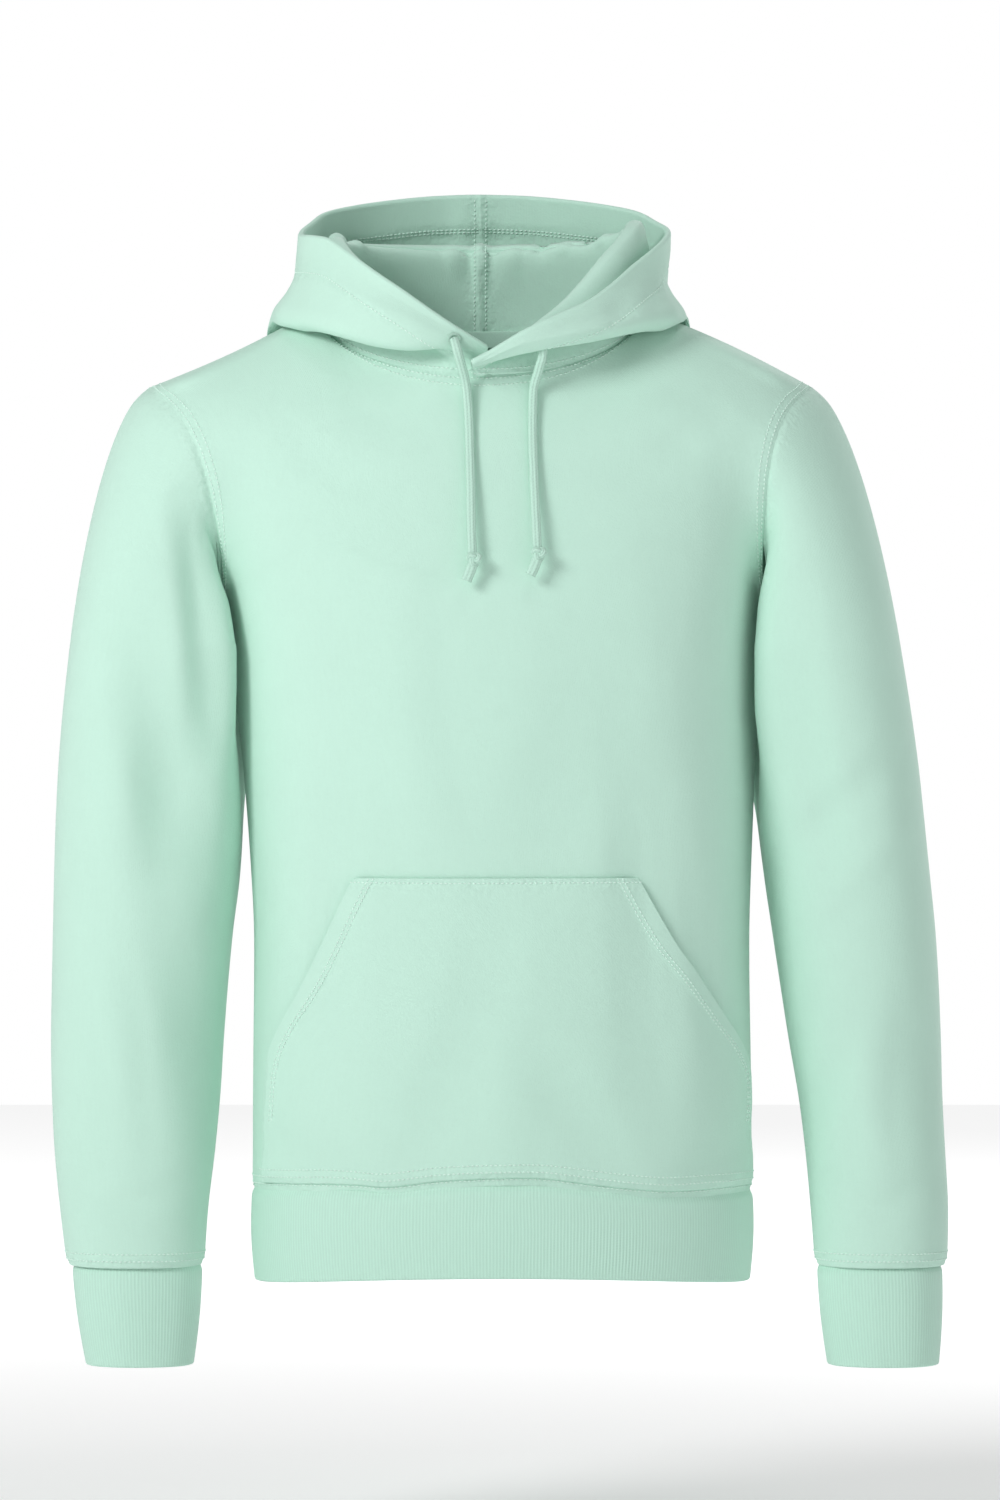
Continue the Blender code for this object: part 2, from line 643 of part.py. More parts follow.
def hang_beside(grid, sign, torso):
    """Ease a sleeve sideways until its inner side hangs just clear of the body."""
    inward = Vector((-sign, 0, 0))
    for index in np.ndindex(grid.shape[:2]):
        if index[0] == 0:
            continue
        x, y, z = grid[index]
        looks = [torso.ray_cast(Vector((sign * BESIDE_START, y + step, z)), inward)[0]
                 for step in BESIDE_LOOK]
        sides = [near.x * sign for near in looks if near is not None]
        if not sides or max(sides) < BESIDE_LEAST:
            continue
        short = max(sides) + REST_GAP - x * sign
        eased = BESIDE_SOFT * np.logaddexp(0, short / BESIDE_SOFT)
        grid[index][0] = sign * (x * sign + eased)


def build_sleeve(side, panels, finish):
    grid = sleeve_grid(side, torso_tree(panels))
    flip = side == "left"
    normals = grid_normals(grid, True, flip)
    body = armhole_normals(side, panels)
    agree = np.clip((np.sum(normals[0] * body, axis=1) + 0.2) / 0.7, 0, 1)[:, None]
    normals[0] = unit(normals[0] * (1 - agree) + body * agree)
    normals[-1, :, 2] = 0
    normals[-1] = unit(normals[-1])
    wall(f"sleeve_{side}", grid, grid - normals * FLEECE, finish, closed=True, flip=flip)


def armhole_normals(side, panels):
    """The panels' normals round the armhole, in the order of the armhole ring."""
    column = 0 if side == "right" else -1
    front = panels["front"][1][SIDE_ROWS:, column]
    back = panels["back"][1][SIDE_ROWS:, column]
    return np.vstack((front, back[-2:0:-1]))


# ---------------------------------------------------------------- pocket


def panel_place(grid, across, z):
    """Where a share across the width (-1 to 1) and a height fall on a panel's grid."""
    columns = grid.shape[1]
    place = (across + 1) / 2 * (columns - 1)
    column = min(int(place), columns - 2)
    share = place - column
    heights = grid[:, column, 2] * (1 - share) + grid[:, column + 1, 2] * share
    row = min(max(int(np.searchsorted(heights, z)) - 1, 0), len(heights) - 2)
    part = (z - heights[row]) / (heights[row + 1] - heights[row])
    return row, column, part, share


def read_at(grid, place):
    """A grid's value at a place found by panel_place."""
    row, column, part, share = place
    low = grid[row, column] * (1 - share) + grid[row, column + 1] * share
    high = grid[row + 1, column] * (1 - share) + grid[row + 1, column + 1] * share
    return low * (1 - part) + high * part


def build_pocket(panels, finish):
    """Kangaroo pocket, laid on the front and a little lifted at its two hand openings."""
    front, normals = panels["front"]
    heights = np.linspace(POCKET["z"][0], POCKET["z"][-1], POCKET_ROWS + 1)
    outer = np.zeros((POCKET_ROWS + 1, POCKET_COLUMNS + 1, 3))
    inner = np.zeros_like(outer)
    for i, z in enumerate(heights):
        right = -float(smooth_through(POCKET["z"], POCKET["right"], z))
        left = float(smooth_through(POCKET["z"], POCKET["left"], z))
        for j, across in enumerate(np.linspace(right, left, POCKET_COLUMNS + 1)):
            level = z + HEM_FRONT_RISE * cos(across * pi / 2) ** 2 * (1 - i / POCKET_ROWS)
            place = panel_place(front, across, level)
            base = read_at(front, place)
            normal = unit(read_at(normals, place))
            up = i / POCKET_ROWS
            free = sin(pi * up) ** 0.7 if 0 < up < 1 else 0.0
            lift = LAID_GAP + POCKET_LIFT * free
            inner[i, j] = base + normal * lift
            outer[i, j] = base + normal * (lift + FLEECE)
    wall("kangaroo_pocket", outer, inner, finish)


# ---------------------------------------------------------------- hood


def hood_profile(side, degrees):
    """Points outward and up from the neck seam to the rim, at one angle round the neck."""
    table = HOOD[side]
    places = (-table["angle"][1],) + table["angle"]
    at = {key: float(smooth_through(places, table[key][1:2] + table[key], degrees))
          for key in table if key != "angle"}
    angle = radians(degrees) * SIDES[side]
    seam = neck_ring(angle)
    seam_z = seam[2] + SEAM_GAP
    ridge, top = at["ridge_out"], at["ridge_z"]
    bag, low, half = at["bag_out"], at["bag_z"], at["bag_half"]
    tall = max(top - seam_z, 0.0005)
    curl = min(RIDGE_HALF, 0.35 * tall + 0.0005)
    turn = min(half, 0.4 * max(at["rim_z"] - low, 0.001))
    route = (
        (at["seam_out"], seam_z),
        (at["seam_out"] * 0.6 + (ridge - curl) * 0.4, seam_z + tall * 0.45),
        (ridge - curl, top - curl),
        (ridge, top),
        (ridge + curl, top - curl),
        ((ridge + curl) * 0.45 + (bag - half) * 0.55, (top + low) * 0.5),
        (bag - half, low + turn),
        (bag, low),
        (bag + half, low + turn),
        (at["belly_out"], at["belly_z"]),
        (at["rim_out"] * 0.75 + at["belly_out"] * 0.25, at["rim_z"] - 0.4 * (at["rim_z"] - at["belly_z"])),
        (at["rim_out"], at["rim_z"]),
    )
    outward = np.array((sin(angle), cos(angle)))
    route = np.array(route)
    straight = np.linspace(route[0], route[-1], len(route))
    line = along(route + (straight - route) * at["flat"], HOOD_ROWS)
    flat = seam[:2] + line[:, :1] * outward
    return np.column_stack((flat, line[:, 1]))


def build_hood(side, panels, finish):
    """Half a hood, from the middle of the back to a little past the middle of the front."""
    back_steps = NECK_BACK_COLUMNS // 2
    front_steps = NECK_FRONT_COLUMNS // 2
    angles = list(np.linspace(0, 90, back_steps + 1))
    angles += list(np.linspace(90, 180, front_steps + 1))[1:]
    angles.append(180 + HOOD_OVERLAP_DEGREES[side])
    grid = np.stack([hood_profile(side, degrees) for degrees in angles], axis=1)
    torso = torso_tree(panels)
    for _ in range(HOOD_PASSES):
        grid[3:] = rest_on(grid[3:], torso, HOOD_REST_GAP, HOOD_REACH)
    flip = side == "left"
    normals = grid_normals(grid, False, flip)
    normals[:, 0, 0] = 0
    normals[:, 0] = unit(normals[:, 0])
    grid[:, 0, 0] = NECK_X + SIDES[side] * SEAM_GAP / 2
    normals[0, :, 2] = 0
    normals[0] = unit(normals[0])
    run = np.linalg.norm(np.diff(grid, axis=0), axis=2)[::-1].cumsum(axis=0)[::-1]
    run = np.vstack((run, np.zeros((1, run.shape[1]))))
    doubled = np.clip((CASING_WIDTH - run) / 0.004, 0, 1)
    thick = HOOD_CLOTH + CASING_EXTRA * doubled
    wall(f"hood_{side}", grid, grid - normals * thick[..., None], finish, flip=flip)
    return grid


def build_neck_tape(finish):
    """Tape that covers the neck seam inside, round the back from shoulder to shoulder."""
    turns = np.radians(np.linspace(-TAPE_SPREAD_DEGREES, TAPE_SPREAD_DEGREES, TAPE_COLUMNS + 1))
    outer = np.zeros((3, len(turns), 3))
    for j, turn in enumerate(turns):
        seam = neck_ring(turn)
        inward = -np.array((sin(turn), cos(turn), 0))
        for i, up in enumerate((-0.5, 0, 0.5)):
            outer[i, j] = seam + inward * (FLEECE + LAID_GAP + TAPE)
            outer[i, j, 2] += up * TAPE_HEIGHT
    normals = grid_normals(outer, False, True)
    wall("neck_tape", outer, outer - normals * TAPE, finish, flip=True)


def ring(name, centre, facing, finish):
    """A flat stitched ring that lies on the cloth."""
    sides = np.linspace(0, 2 * pi, EYELET_SIDES + 1)[:-1]
    across = unit(np.cross(facing, (0, 0, 1)))
    upward = np.cross(across, facing)
    profile = (
        (EYELET["inside"], 0.0),
        (EYELET["inside"], EYELET["thick"]),
        (EYELET["outside"], EYELET["thick"]),
        (EYELET["outside"], 0.0),
    )
    vertices = []
    for turn in sides:
        spoke = across * cos(turn) + upward * sin(turn)
        vertices += [centre + spoke * r + facing * h for r, h in profile]
    faces = []
    for k in range(EYELET_SIDES):
        a, b = 4 * k, 4 * ((k + 1) % EYELET_SIDES)
        for m in range(4):
            n = (m + 1) % 4
            faces.append((a + m, b + m, b + n, a + n))
    return add_object(name, vertices, faces, finish)


def build_eyelet(hood, finish):
    """Stitched eyelet on the right front of the hood, where the cord comes out."""
    x, z = EYELET["centre"]
    rows, columns = hood.shape[:2]
    faces = [(i * columns + j, i * columns + j + 1, (i + 1) * columns + j + 1, (i + 1) * columns + j)
             for i in range(rows - 1) for j in range(columns - 1)]
    tree = BVHTree.FromPolygons([tuple(p) for p in hood.reshape(-1, 3)], faces)
    near, normal, _, _ = tree.ray_cast(Vector((x, -1, z)), Vector((0, 1, 0)))
    facing = unit(np.array(normal))
    facing = facing if facing[1] < 0 else -facing
    ring("eyelet_right", np.array(near) + facing * LAID_GAP, facing, finish)


def cord_tube(name, route, diameter, finish):
    """A round cord along a smooth curve through the route."""
    length = np.linalg.norm(np.diff(np.array(route), axis=0), axis=1).sum()
    points = along(route, max(int(round(length / CORD_STEP)), 3))
    curve = bpy.data.curves.new(name, "CURVE")
    curve.dimensions = "3D"
    curve.bevel_depth = diameter / 2
    curve.bevel_resolution = 2
    curve.use_fill_caps = True
    spline = curve.splines.new("POLY")
    spline.points.add(len(points) - 1)
    for point, place in zip(spline.points, points):
        point.co = (*place, 1)
    curve.materials.append(finish)
    piece = bpy.data.objects.new(name, curve)
    bpy.context.scene.collection.objects.link(piece)


def knot(name, centre, finish):
    """An overhand knot: a lump with two crossing wraps."""
    mesh = bpy.data.meshes.new(name)
    shape = bmesh.new()
    bmesh.ops.create_uvsphere(shape, u_segments=14, v_segments=9, radius=1)
    for vert in shape.verts:
        turn = KNOT_WRAP["up"] * vert.co.z + KNOT_WRAP["across"] * vert.co.x
        wrap = 1 + KNOT_WRAP["deep"] * sin(turn) * abs(vert.co.x)
        vert.co = Vector([c * size * wrap for c, size in zip(vert.co, KNOT_SIZE)]) + Vector(centre)
    shape.to_mesh(mesh)
    shape.free()
    mesh.materials.append(finish)
    mesh.shade_smooth()
    piece = bpy.data.objects.new(name, mesh)
    bpy.context.scene.collection.objects.link(piece)


def build_drawcord(side, finish):
    cord_tube(f"drawcord_{side}", CORD_ROUTES[side], CORD_DIAMETER, finish)
    knot(f"drawcord_knot_{side}", KNOTS[side], finish)
    cord_tube(f"drawcord_tail_{side}", TAILS[side], CORD_DIAMETER, finish)


def main():
    clear_scene()
    fleece = material("fleece", MINT, 0.9)
    rib = material("rib_knit", MINT_RIB, 0.9)
    panels = build_panels(fleece)
    build_hem(rib)
    for side in SIDES:
        build_cuff(side, rib)
        build_sleeve(side, panels, fleece)
    build_pocket(panels, fleece)
    hoods = {side: build_hood(side, panels, fleece) for side in SIDES}
    build_neck_tape(fleece)
    cord = material("cord_braid", MINT_CORD, 0.8)
    build_eyelet(hoods["right"], cord)
    for side in SIDES:
        build_drawcord(side, cord)


main()
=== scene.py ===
"""Pullover hoodie in heavy mint fleece, dressed over its CAD frame: camera and studio first,
then the drawcord, the body, pocket, ribs, sleeves, hood and the sewing that holds them.
Metres, +Z up, the wearer's left is +X and the chest faces -Y.
"""
from math import cos, pi, radians, sin

import bpy
import numpy as np
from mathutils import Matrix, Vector
from mathutils.bvhtree import BVHTree


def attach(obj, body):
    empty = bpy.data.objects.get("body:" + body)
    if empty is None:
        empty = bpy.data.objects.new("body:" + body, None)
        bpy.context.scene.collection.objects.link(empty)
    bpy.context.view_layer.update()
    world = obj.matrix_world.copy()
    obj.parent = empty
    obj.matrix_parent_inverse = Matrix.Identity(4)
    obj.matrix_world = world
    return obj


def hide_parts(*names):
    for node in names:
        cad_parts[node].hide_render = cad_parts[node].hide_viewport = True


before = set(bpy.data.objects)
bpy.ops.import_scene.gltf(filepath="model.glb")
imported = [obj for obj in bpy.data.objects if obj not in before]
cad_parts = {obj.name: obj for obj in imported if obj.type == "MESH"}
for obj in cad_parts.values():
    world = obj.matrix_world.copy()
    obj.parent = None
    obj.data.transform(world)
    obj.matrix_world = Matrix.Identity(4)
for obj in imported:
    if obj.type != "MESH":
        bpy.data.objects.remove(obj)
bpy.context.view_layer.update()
SIDES = {"right": -1, "left": 1}

# ---------------------------------------------------------------- studio
# A long lens level with the belly, a white paper floor, a large soft light high on the left,
# weaker ones on the right, above and behind, and an even white surround for the shadows.
CAMERA_DISTANCE = 5.0
CAMERA_HEIGHT = -0.2905
CAMERA_SHIFT = -0.01
FRAME_HEIGHT = 1.05
SENSOR_HEIGHT = 36
VIEW_END = 60
# Place, aim, width and power
LIGHTS = {
    "key_light": ((-2.6, -2.6, 1.7), (0, 0, -0.25), 1.5, 88),
    "side_light": ((3.0, -1.6, 0.6), (0, 0, -0.3), 1.8, 9),
    "top_light": ((0.7, -1.3, 2.6), (0, 0, 0), 1.2, 9),
    "back_light": ((1.6, 3.2, 1.8), (0, 0, -0.2), 2.0, 46),
}
SEEN_SKY = {"Color": (1, 1, 1, 1), "Strength": 1.0}
FILL_SKY = {"Strength": 0.35}
FLOOR_Z = -0.86
FLOOR_HALF = 6.0
PAPER = {"Base Color": (0.93, 0.93, 0.93, 1), "Roughness": 0.9, "Emission Strength": 0.62}
# The paper glows less beside the garment than further away
PAPER_GLOW = {"From Min": 1.1, "From Max": 2.6, "To Min": 0.30, "To Max": 1.0}


def set_out(name, data):
    """Add an object to the scene."""
    made = bpy.data.objects.new(name, data)
    bpy.context.scene.collection.objects.link(made)
    return made


def fill_inputs(tree, node, inputs):
    """Fill or link the inputs of a node, by number or name."""
    for key, value in inputs.items():
        socket = node.inputs[key]
        if isinstance(value, bpy.types.NodeSocket):
            tree.links.new(value, socket)
        else:
            socket.default_value = value


def add_node(tree, kind, inputs=None, **settings):
    """Add a node, set its own settings and its inputs, and give back its first output."""
    made = tree.nodes.new(kind)
    for key, value in settings.items():
        setattr(made, key, value)
    fill_inputs(tree, made, inputs or {})
    return made.outputs[0]


def principled(name, inputs):
    """A material with these constants on its Principled shader."""
    finish = bpy.data.materials.new(name)
    finish.use_nodes = True
    surface = finish.node_tree.nodes["Principled BSDF"]
    fill_inputs(finish.node_tree, surface, inputs)
    return finish, finish.node_tree, surface


lens = bpy.data.cameras.new("camera")
lens.sensor_fit = "VERTICAL"
lens.sensor_height = SENSOR_HEIGHT
lens.lens = SENSOR_HEIGHT * CAMERA_DISTANCE / FRAME_HEIGHT
lens.shift_y = CAMERA_SHIFT
lens.clip_end = VIEW_END
camera = set_out("camera", lens)
camera.location = (0, -CAMERA_DISTANCE, CAMERA_HEIGHT)
camera.rotation_euler = (pi / 2, 0, 0)
bpy.context.scene.camera = camera
bpy.context.scene.view_settings.view_transform = "Standard"

for name, (place, aim, width, power) in LIGHTS.items():
    light = bpy.data.lights.new(name, "AREA")
    light.shape = "DISK"
    light.size = width
    light.energy = power
    lamp = set_out(name, light)
    lamp.location = place
    lamp.rotation_euler = (Vector(place) - Vector(aim)).to_track_quat("Z", "Y").to_euler()

surround = bpy.data.worlds.new("surround")
surround.use_nodes = True
sky = surround.node_tree
seen = sky.nodes["Background"]
fill_inputs(sky, seen, SEEN_SKY)
fill = add_node(sky, "ShaderNodeBackground", FILL_SKY)
camera_ray = sky.nodes.new("ShaderNodeLightPath").outputs["Is Camera Ray"]
either = add_node(sky, "ShaderNodeMixShader", {0: camera_ray, 1: fill, 2: seen.outputs[0]})
sky.links.new(either, sky.nodes["World Output"].inputs["Surface"])
bpy.context.scene.world = surround

paper, tree, coat = principled("paper", PAPER)
place = tree.nodes.new("ShaderNodeTexCoord").outputs["Object"]
away = add_node(tree, "ShaderNodeVectorMath", {0: place}, operation="LENGTH").node.outputs["Value"]
glow = add_node(tree, "ShaderNodeMapRange", {"Value": away, **PAPER_GLOW})
tree.links.new(glow, coat.inputs["Emission Color"])
sheet = bpy.data.meshes.new("floor")
sheet.from_pydata([(x * FLOOR_HALF, y * FLOOR_HALF, FLOOR_Z)
                   for x, y in ((-1, -1), (1, -1), (1, 1), (-1, 1))], [], [(0, 1, 2, 3)])
sheet.materials.append(paper)
set_out("floor", sheet)

# ---------------------------------------------------------------- drawcord
# Two free ends of one flat tubular cotton braid. The right one comes out of its stitched
# eyelet, the left one from under the edge of the hood; each ends in a knot and a short tail.
MINT_CORD = (0.53, 0.780, 0.660, 1)
CORD_WIDTH = 0.0064
CORD_THICK = 0.0044
CORD_SIDES = 16
CORD_STEPS = 90
TAIL_WIDTH = CORD_WIDTH * 1.15
TAIL_STEPS = 16
KNOT_STEPS = 72
KNOT_SIDES = 10
KNOT_STRAND = 0.0048
KNOT_REACH = 0.0036
KNOT_DEPTH = 0.80
KNOT_FACING = (0.13, -1, 0.08)
BRAID_PITCH = 0.0024
BRAID_TURNS = 5
BRAID_COLUMNS = 8
YARN_SHARE = 0.45
CLOTH_GLOSS = {"Specular IOR Level": 0.2, "Sheen Roughness": 0.45, "Sheen Tint": (0.93, 1.0, 0.97, 1)}
CORD_ROUTES = {
    "right": (
        (-0.0314, -0.0994, -0.0193),
        (-0.0308, -0.1040, -0.0212),
        (-0.0298, -0.1062, -0.0252),
        (-0.0282, -0.1050, -0.0310),
        (-0.0260, -0.1005, -0.0390),
        (-0.0235, -0.0955, -0.0493),
        (-0.0220, -0.0965, -0.0640),
        (-0.0212, -0.1002, -0.0801),
        (-0.0205, -0.1084, -0.1047),
        (-0.0200, -0.1138, -0.1220),
        (-0.0198, -0.1186, -0.1409),
        (-0.0191, -0.1234, -0.1640),
        (-0.0186, -0.1248, -0.1682),
    ),
    "left": (
        (0.0296, -0.0985, -0.0245),
        (0.0288, -0.0990, -0.0318),
        (0.0276, -0.0972, -0.0360),
        (0.0260, -0.0940, -0.0415),
        (0.0240, -0.0915, -0.0480),
        (0.0228, -0.0912, -0.0555),
        (0.0223, -0.0965, -0.0740),
        (0.0225, -0.1032, -0.0924),
        (0.0232, -0.1094, -0.1110),
        (0.0239, -0.1152, -0.1293),
        (0.0246, -0.1192, -0.1450),
        (0.0253, -0.1226, -0.1600),
        (0.0258, -0.1240, -0.1644),
    ),
}
KNOTS = {"right": (-0.0176, -0.1262, -0.1706), "left": (0.0264, -0.1252, -0.1668)}
TAILS = {
    "right": ((-0.0185, -0.1262, -0.1740), (-0.0205, -0.1264, -0.1792), (-0.0230, -0.1262, -0.1853)),
    "left": ((0.0256, -0.1255, -0.1700), (0.0236, -0.1259, -0.1752), (0.0207, -0.1260, -0.1812)),
}


def read_rows(grid, at, closed=False):
    """Read points at fractional row numbers, along smooth curves through a grid's rows."""
    at = np.asarray(at, float)
    if closed:
        padded = np.concatenate((grid[-1:], grid, grid[:2]))
        spans = len(grid)
    else:
        first = 2 * grid[:1] - grid[1:2]
        last = 2 * grid[-1:] - grid[-2:-1]
        padded = np.concatenate((first, grid, last))
        spans = len(grid) - 1
    span = np.clip(at.astype(int), 0, spans - 1)
    share = (at - span).reshape(-1, *[1] * (grid.ndim - 1))
    before, start, end, after = (padded[span + k] for k in range(4))
    return 0.5 * (
        2 * start
        + (end - before) * share
        + (2 * before - 5 * start + 4 * end - after) * share**2
        + (3 * start - before - 3 * end + after) * share**3
    )


def along(points, count, closed=False):
    """Points spread along a smooth curve through the given ones."""
    points = np.asarray(points, float)
    spans = len(points) if closed else len(points) - 1
    return read_rows(points, np.linspace(0, spans, count + 1), closed)


def all_round(count):
    """Even angles all round."""
    return np.linspace(0, 2 * pi, count + 1)[:-1]


def unit(vectors):
    length = np.linalg.norm(vectors, axis=-1, keepdims=True)
    return vectors / np.maximum(length, 1e-12)


def new_piece(name, vertices, faces, finish, uv, wrap=None):
    """A smooth mesh object; uv gives each vertex its place on the cloth in metres.

    On a tube, wrap is the distance all round, and the quads that close it are read past the end.
    """
    mesh = bpy.data.meshes.new(name)
    mesh.from_pydata(np.asarray(vertices, float).tolist(), [], faces)
    mesh.materials.append(finish)
    corner = np.zeros(len(mesh.loops), np.int32)
    mesh.loops.foreach_get("vertex_index", corner)
    places = np.asarray(uv, np.float32)[corner]
    if wrap:
        quads = 4 * sum(len(face) == 4 for face in faces)
        around = places[:quads, 0].reshape(-1, 4)
        closing = np.ptp(around, axis=1, keepdims=True) > wrap / 2
        places[:quads, 0] += (closing & (around < wrap / 2)).ravel() * wrap
    mesh.uv_layers.new(name="cloth").data.foreach_set("uv", places.ravel())
    mesh.shade_smooth()
    return set_out(name, mesh)


def sweep(name, path, width, thick, finish, closed=False, facing=(0, -1, 0), sides=CORD_SIDES):
    """A flat or round strand along a path, its wide side turned to face one way."""
    path = np.asarray(path, float)
    if closed:
        ahead = unit(np.roll(path, -1, axis=0) - np.roll(path, 1, axis=0))
    else:
        ahead = unit(np.gradient(path, axis=0))
    across = unit(np.cross(ahead, np.broadcast_to(facing, ahead.shape)))
    front = np.cross(across, ahead)
    turn = all_round(sides)
    rings = (path[:, None]
             + across[:, None] * (np.cos(turn) * width / 2)[None, :, None]
             + front[:, None] * (np.sin(turn) * thick / 2)[None, :, None])
    count = len(path)
    run = np.concatenate(([0], np.linalg.norm(np.diff(path, axis=0), axis=1).cumsum()))
    uv = np.stack((np.broadcast_to(turn / (2 * pi), (count, sides)),
                   np.broadcast_to(run[:, None], (count, sides))), axis=-1)
    faces = []
    for i in range(count if closed else count - 1):
        a, b = i * sides, (i + 1) % count * sides
        for j in range(sides):
            k = (j + 1) % sides
            faces.append((a + j, a + k, b + k, b + j))
    if not closed:
        faces.append(tuple(range(sides))[::-1])
        faces.append(tuple((count - 1) * sides + j for j in range(sides)))
    return new_piece(name, rings.reshape(-1, 3), faces, finish, uv.reshape(-1, 2), wrap=1.0)


def cloth_material(name, roughness, sheen):
    """A Principled cloth surface with soft nap, ready for its colour and its bump."""
    return principled(name, {"Roughness": roughness, "Sheen Weight": sheen, **CLOTH_GLOSS})


def math_node(tree, operation, *values):
    """One Math node on sockets and numbers."""
    return add_node(tree, "ShaderNodeMath", dict(enumerate(values)), operation=operation)


def ridge_group():
    """A node group with the even ridges of yarn: a wave from 0 to 1 along one coordinate."""
    tree = bpy.data.node_groups.new("even_ridges", "ShaderNodeTree")
    for name, way in (("Along", "INPUT"), ("Pitch", "INPUT"), ("Height", "OUTPUT")):
        tree.interface.new_socket(name, in_out=way, socket_type="NodeSocketFloat")
    given = tree.nodes.new("NodeGroupInput").outputs
    turns = math_node(tree, "DIVIDE", given["Along"], given["Pitch"])
    swing = math_node(tree, "COSINE", math_node(tree, "MULTIPLY", turns, 2 * pi))
    height = math_node(tree, "MULTIPLY_ADD", swing, 0.5, 0.5)
    tree.links.new(height, tree.nodes.new("NodeGroupOutput").inputs["Height"])
    return tree


even_ridges = ridge_group()


def ridges(tree, along, pitch):
    """Even ridges at a pitch along one coordinate."""
    return add_node(tree, "ShaderNodeGroup", {"Along": along, "Pitch": pitch}, node_tree=even_ridges)


def uv_coordinates(tree):
    """The cloth layer, and its two coordinates as separate outputs."""
    layer = add_node(tree, "ShaderNodeUVMap", uv_map="cloth")
    parts = add_node(tree, "ShaderNodeSeparateXYZ", {0: layer}).node.outputs
    return layer, parts[0], parts[1]


def dress(surface, normal, colour, amount, light, dark):
    """Give a surface its relief, and its colour between a dark and a light share of itself."""
    shares = {6: [c * dark for c in colour[:3]] + [1], 7: [min(c * light, 1) for c in colour[:3]] + [1]}
    mixed = add_node(surface.id_data, "ShaderNodeMix", {"Factor": amount, **shares}, data_type="RGBA")
    fill_inputs(surface.id_data, surface, {"Base Color": mixed.node.outputs[2], "Normal": normal})


def braid_finish(name, colour):
    """Two sets of yarns that cross as they wind round a cord."""
    finish, tree, surface = cloth_material(name, roughness=0.75, sheen=0.15)
    _, around, lengthwise = uv_coordinates(tree)
    wound = [math_node(tree, "MULTIPLY_ADD", around, way * BRAID_TURNS * BRAID_PITCH, lengthwise)
             for way in (1, -1)]
    yarn = math_node(tree, "MAXIMUM", *(ridges(tree, along, BRAID_PITCH) for along in wound))
    relief = math_node(tree, "MULTIPLY_ADD", yarn, YARN_SHARE, ridges(tree, around, 1 / BRAID_COLUMNS))
    raised = add_node(tree, "ShaderNodeBump", {"Strength": 0.7, "Distance": 0.0004, "Height": relief})
    # Painted shade in the grooves between the yarns and a painted highlight on their crests: the colour
    # follows the relief
    shade = math_node(tree, "MULTIPLY", relief, 1 / (1 + YARN_SHARE))
    dress(surface, raised, colour, shade, light=1.05, dark=0.88)
    return finish


def finish_piece(piece, slot, *nodes):
    """Fix a piece to the frame's only body, in place of its CAD nodes."""
    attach(piece, "root")
    if nodes:
        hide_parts(*nodes)
    return piece


cord_braid = braid_finish("cord_braid", MINT_CORD)
for side in SIDES:
    path = along(CORD_ROUTES[side], CORD_STEPS)
    strand = sweep(f"cord_{side}", path, CORD_WIDTH, CORD_THICK, cord_braid)
    finish_piece(strand, "cord_braid", f"drawcord_{side}")
    turn = all_round(KNOT_STEPS)
    loops = np.column_stack((
        np.sin(turn) + 2 * np.sin(2 * turn),
        -KNOT_DEPTH * np.sin(3 * turn),
        np.cos(turn) - 2 * np.cos(2 * turn),
    )) / 3 * KNOT_REACH + np.array(KNOTS[side])
    lump = sweep(f"cord_knot_{side}", loops, KNOT_STRAND, KNOT_STRAND, cord_braid,
                 closed=True, facing=KNOT_FACING, sides=KNOT_SIDES)
    finish_piece(lump, "cord_braid", f"drawcord_knot_{side}")
    tail = sweep(f"cord_tail_{side}", along(TAILS[side], TAIL_STEPS), TAIL_WIDTH, CORD_THICK, cord_braid)
    finish_piece(tail, "cord_braid", f"drawcord_tail_{side}")

# ---------------------------------------------------------------- front and back
# Heavy brushed fleece, cut as one front and one back. They meet at the shoulders and sides,
# and every edge dips into its seam.
FLEECE_COLOUR = (0.555, 0.810, 0.690, 1)
FLEECE = 0.0022
HEM_SEAM_Z = -0.609
HEM_FRONT_RISE = 0.008
HEM_BOTTOM_Z = -0.669
NECK_X = -0.014
NECK_HALF_WIDTH = 0.115
NECK_FRONT = 0.088
NECK_BACK = 0.078
NECK_POINT_Z = 0.008
NECK_FRONT_DROP = 0.050
NECK_BACK_DROP = 0.018
# Half widths and depths of the body, from the hem seam up to the shoulder
TORSO = {
    "z": (-0.609, -0.540, -0.440, -0.350, -0.260, -0.200, -0.120, -0.047),
    "right": (0.1732, 0.1735, 0.1732, 0.1780, 0.1870, 0.1945, 0.2050, 0.2460),
    "left": (0.1765, 0.1765, 0.1757, 0.1785, 0.1825, 0.1860, 0.1860, 0.2190),
    "front": (0.124, 0.124, 0.122, 0.122, 0.124, 0.125, 0.118, 0.100),
    "back": (0.110, 0.108, 0.102, 0.101, 0.107, 0.112, 0.112, 0.098),
}
# The armhole from the underarm up to the shoulder tip: half widths, and its bow on either face
ARMHOLE = {
    "z": (-0.200, -0.172, -0.132, -0.097, -0.071, -0.055, -0.047),
    "right": (0.1945, 0.1945, 0.1990, 0.2080, 0.2210, 0.2360, 0.2460),
    "left": (0.1860, 0.1835, 0.1840, 0.1880, 0.1970, 0.2090, 0.2190),
    "front": (0.000, 0.036, 0.062, 0.070, 0.058, 0.034, 0.000),
    "back": (0.000, 0.036, 0.060, 0.066, 0.056, 0.034, 0.000),
}
SHOULDER_CROWN = {"right": -0.003, "left": 0.003}
SECTION_POWER = 0.78
SIDE_BLEND = 3
ROLL_SIDE_POWER = 6
ROLL_START = 0.74
ROLL_POWERS = (1.35, 2.1)
NECK_REACH = (0.1, 0.7)
EASE_DEPTH = 4
EASE_PASSES = 5
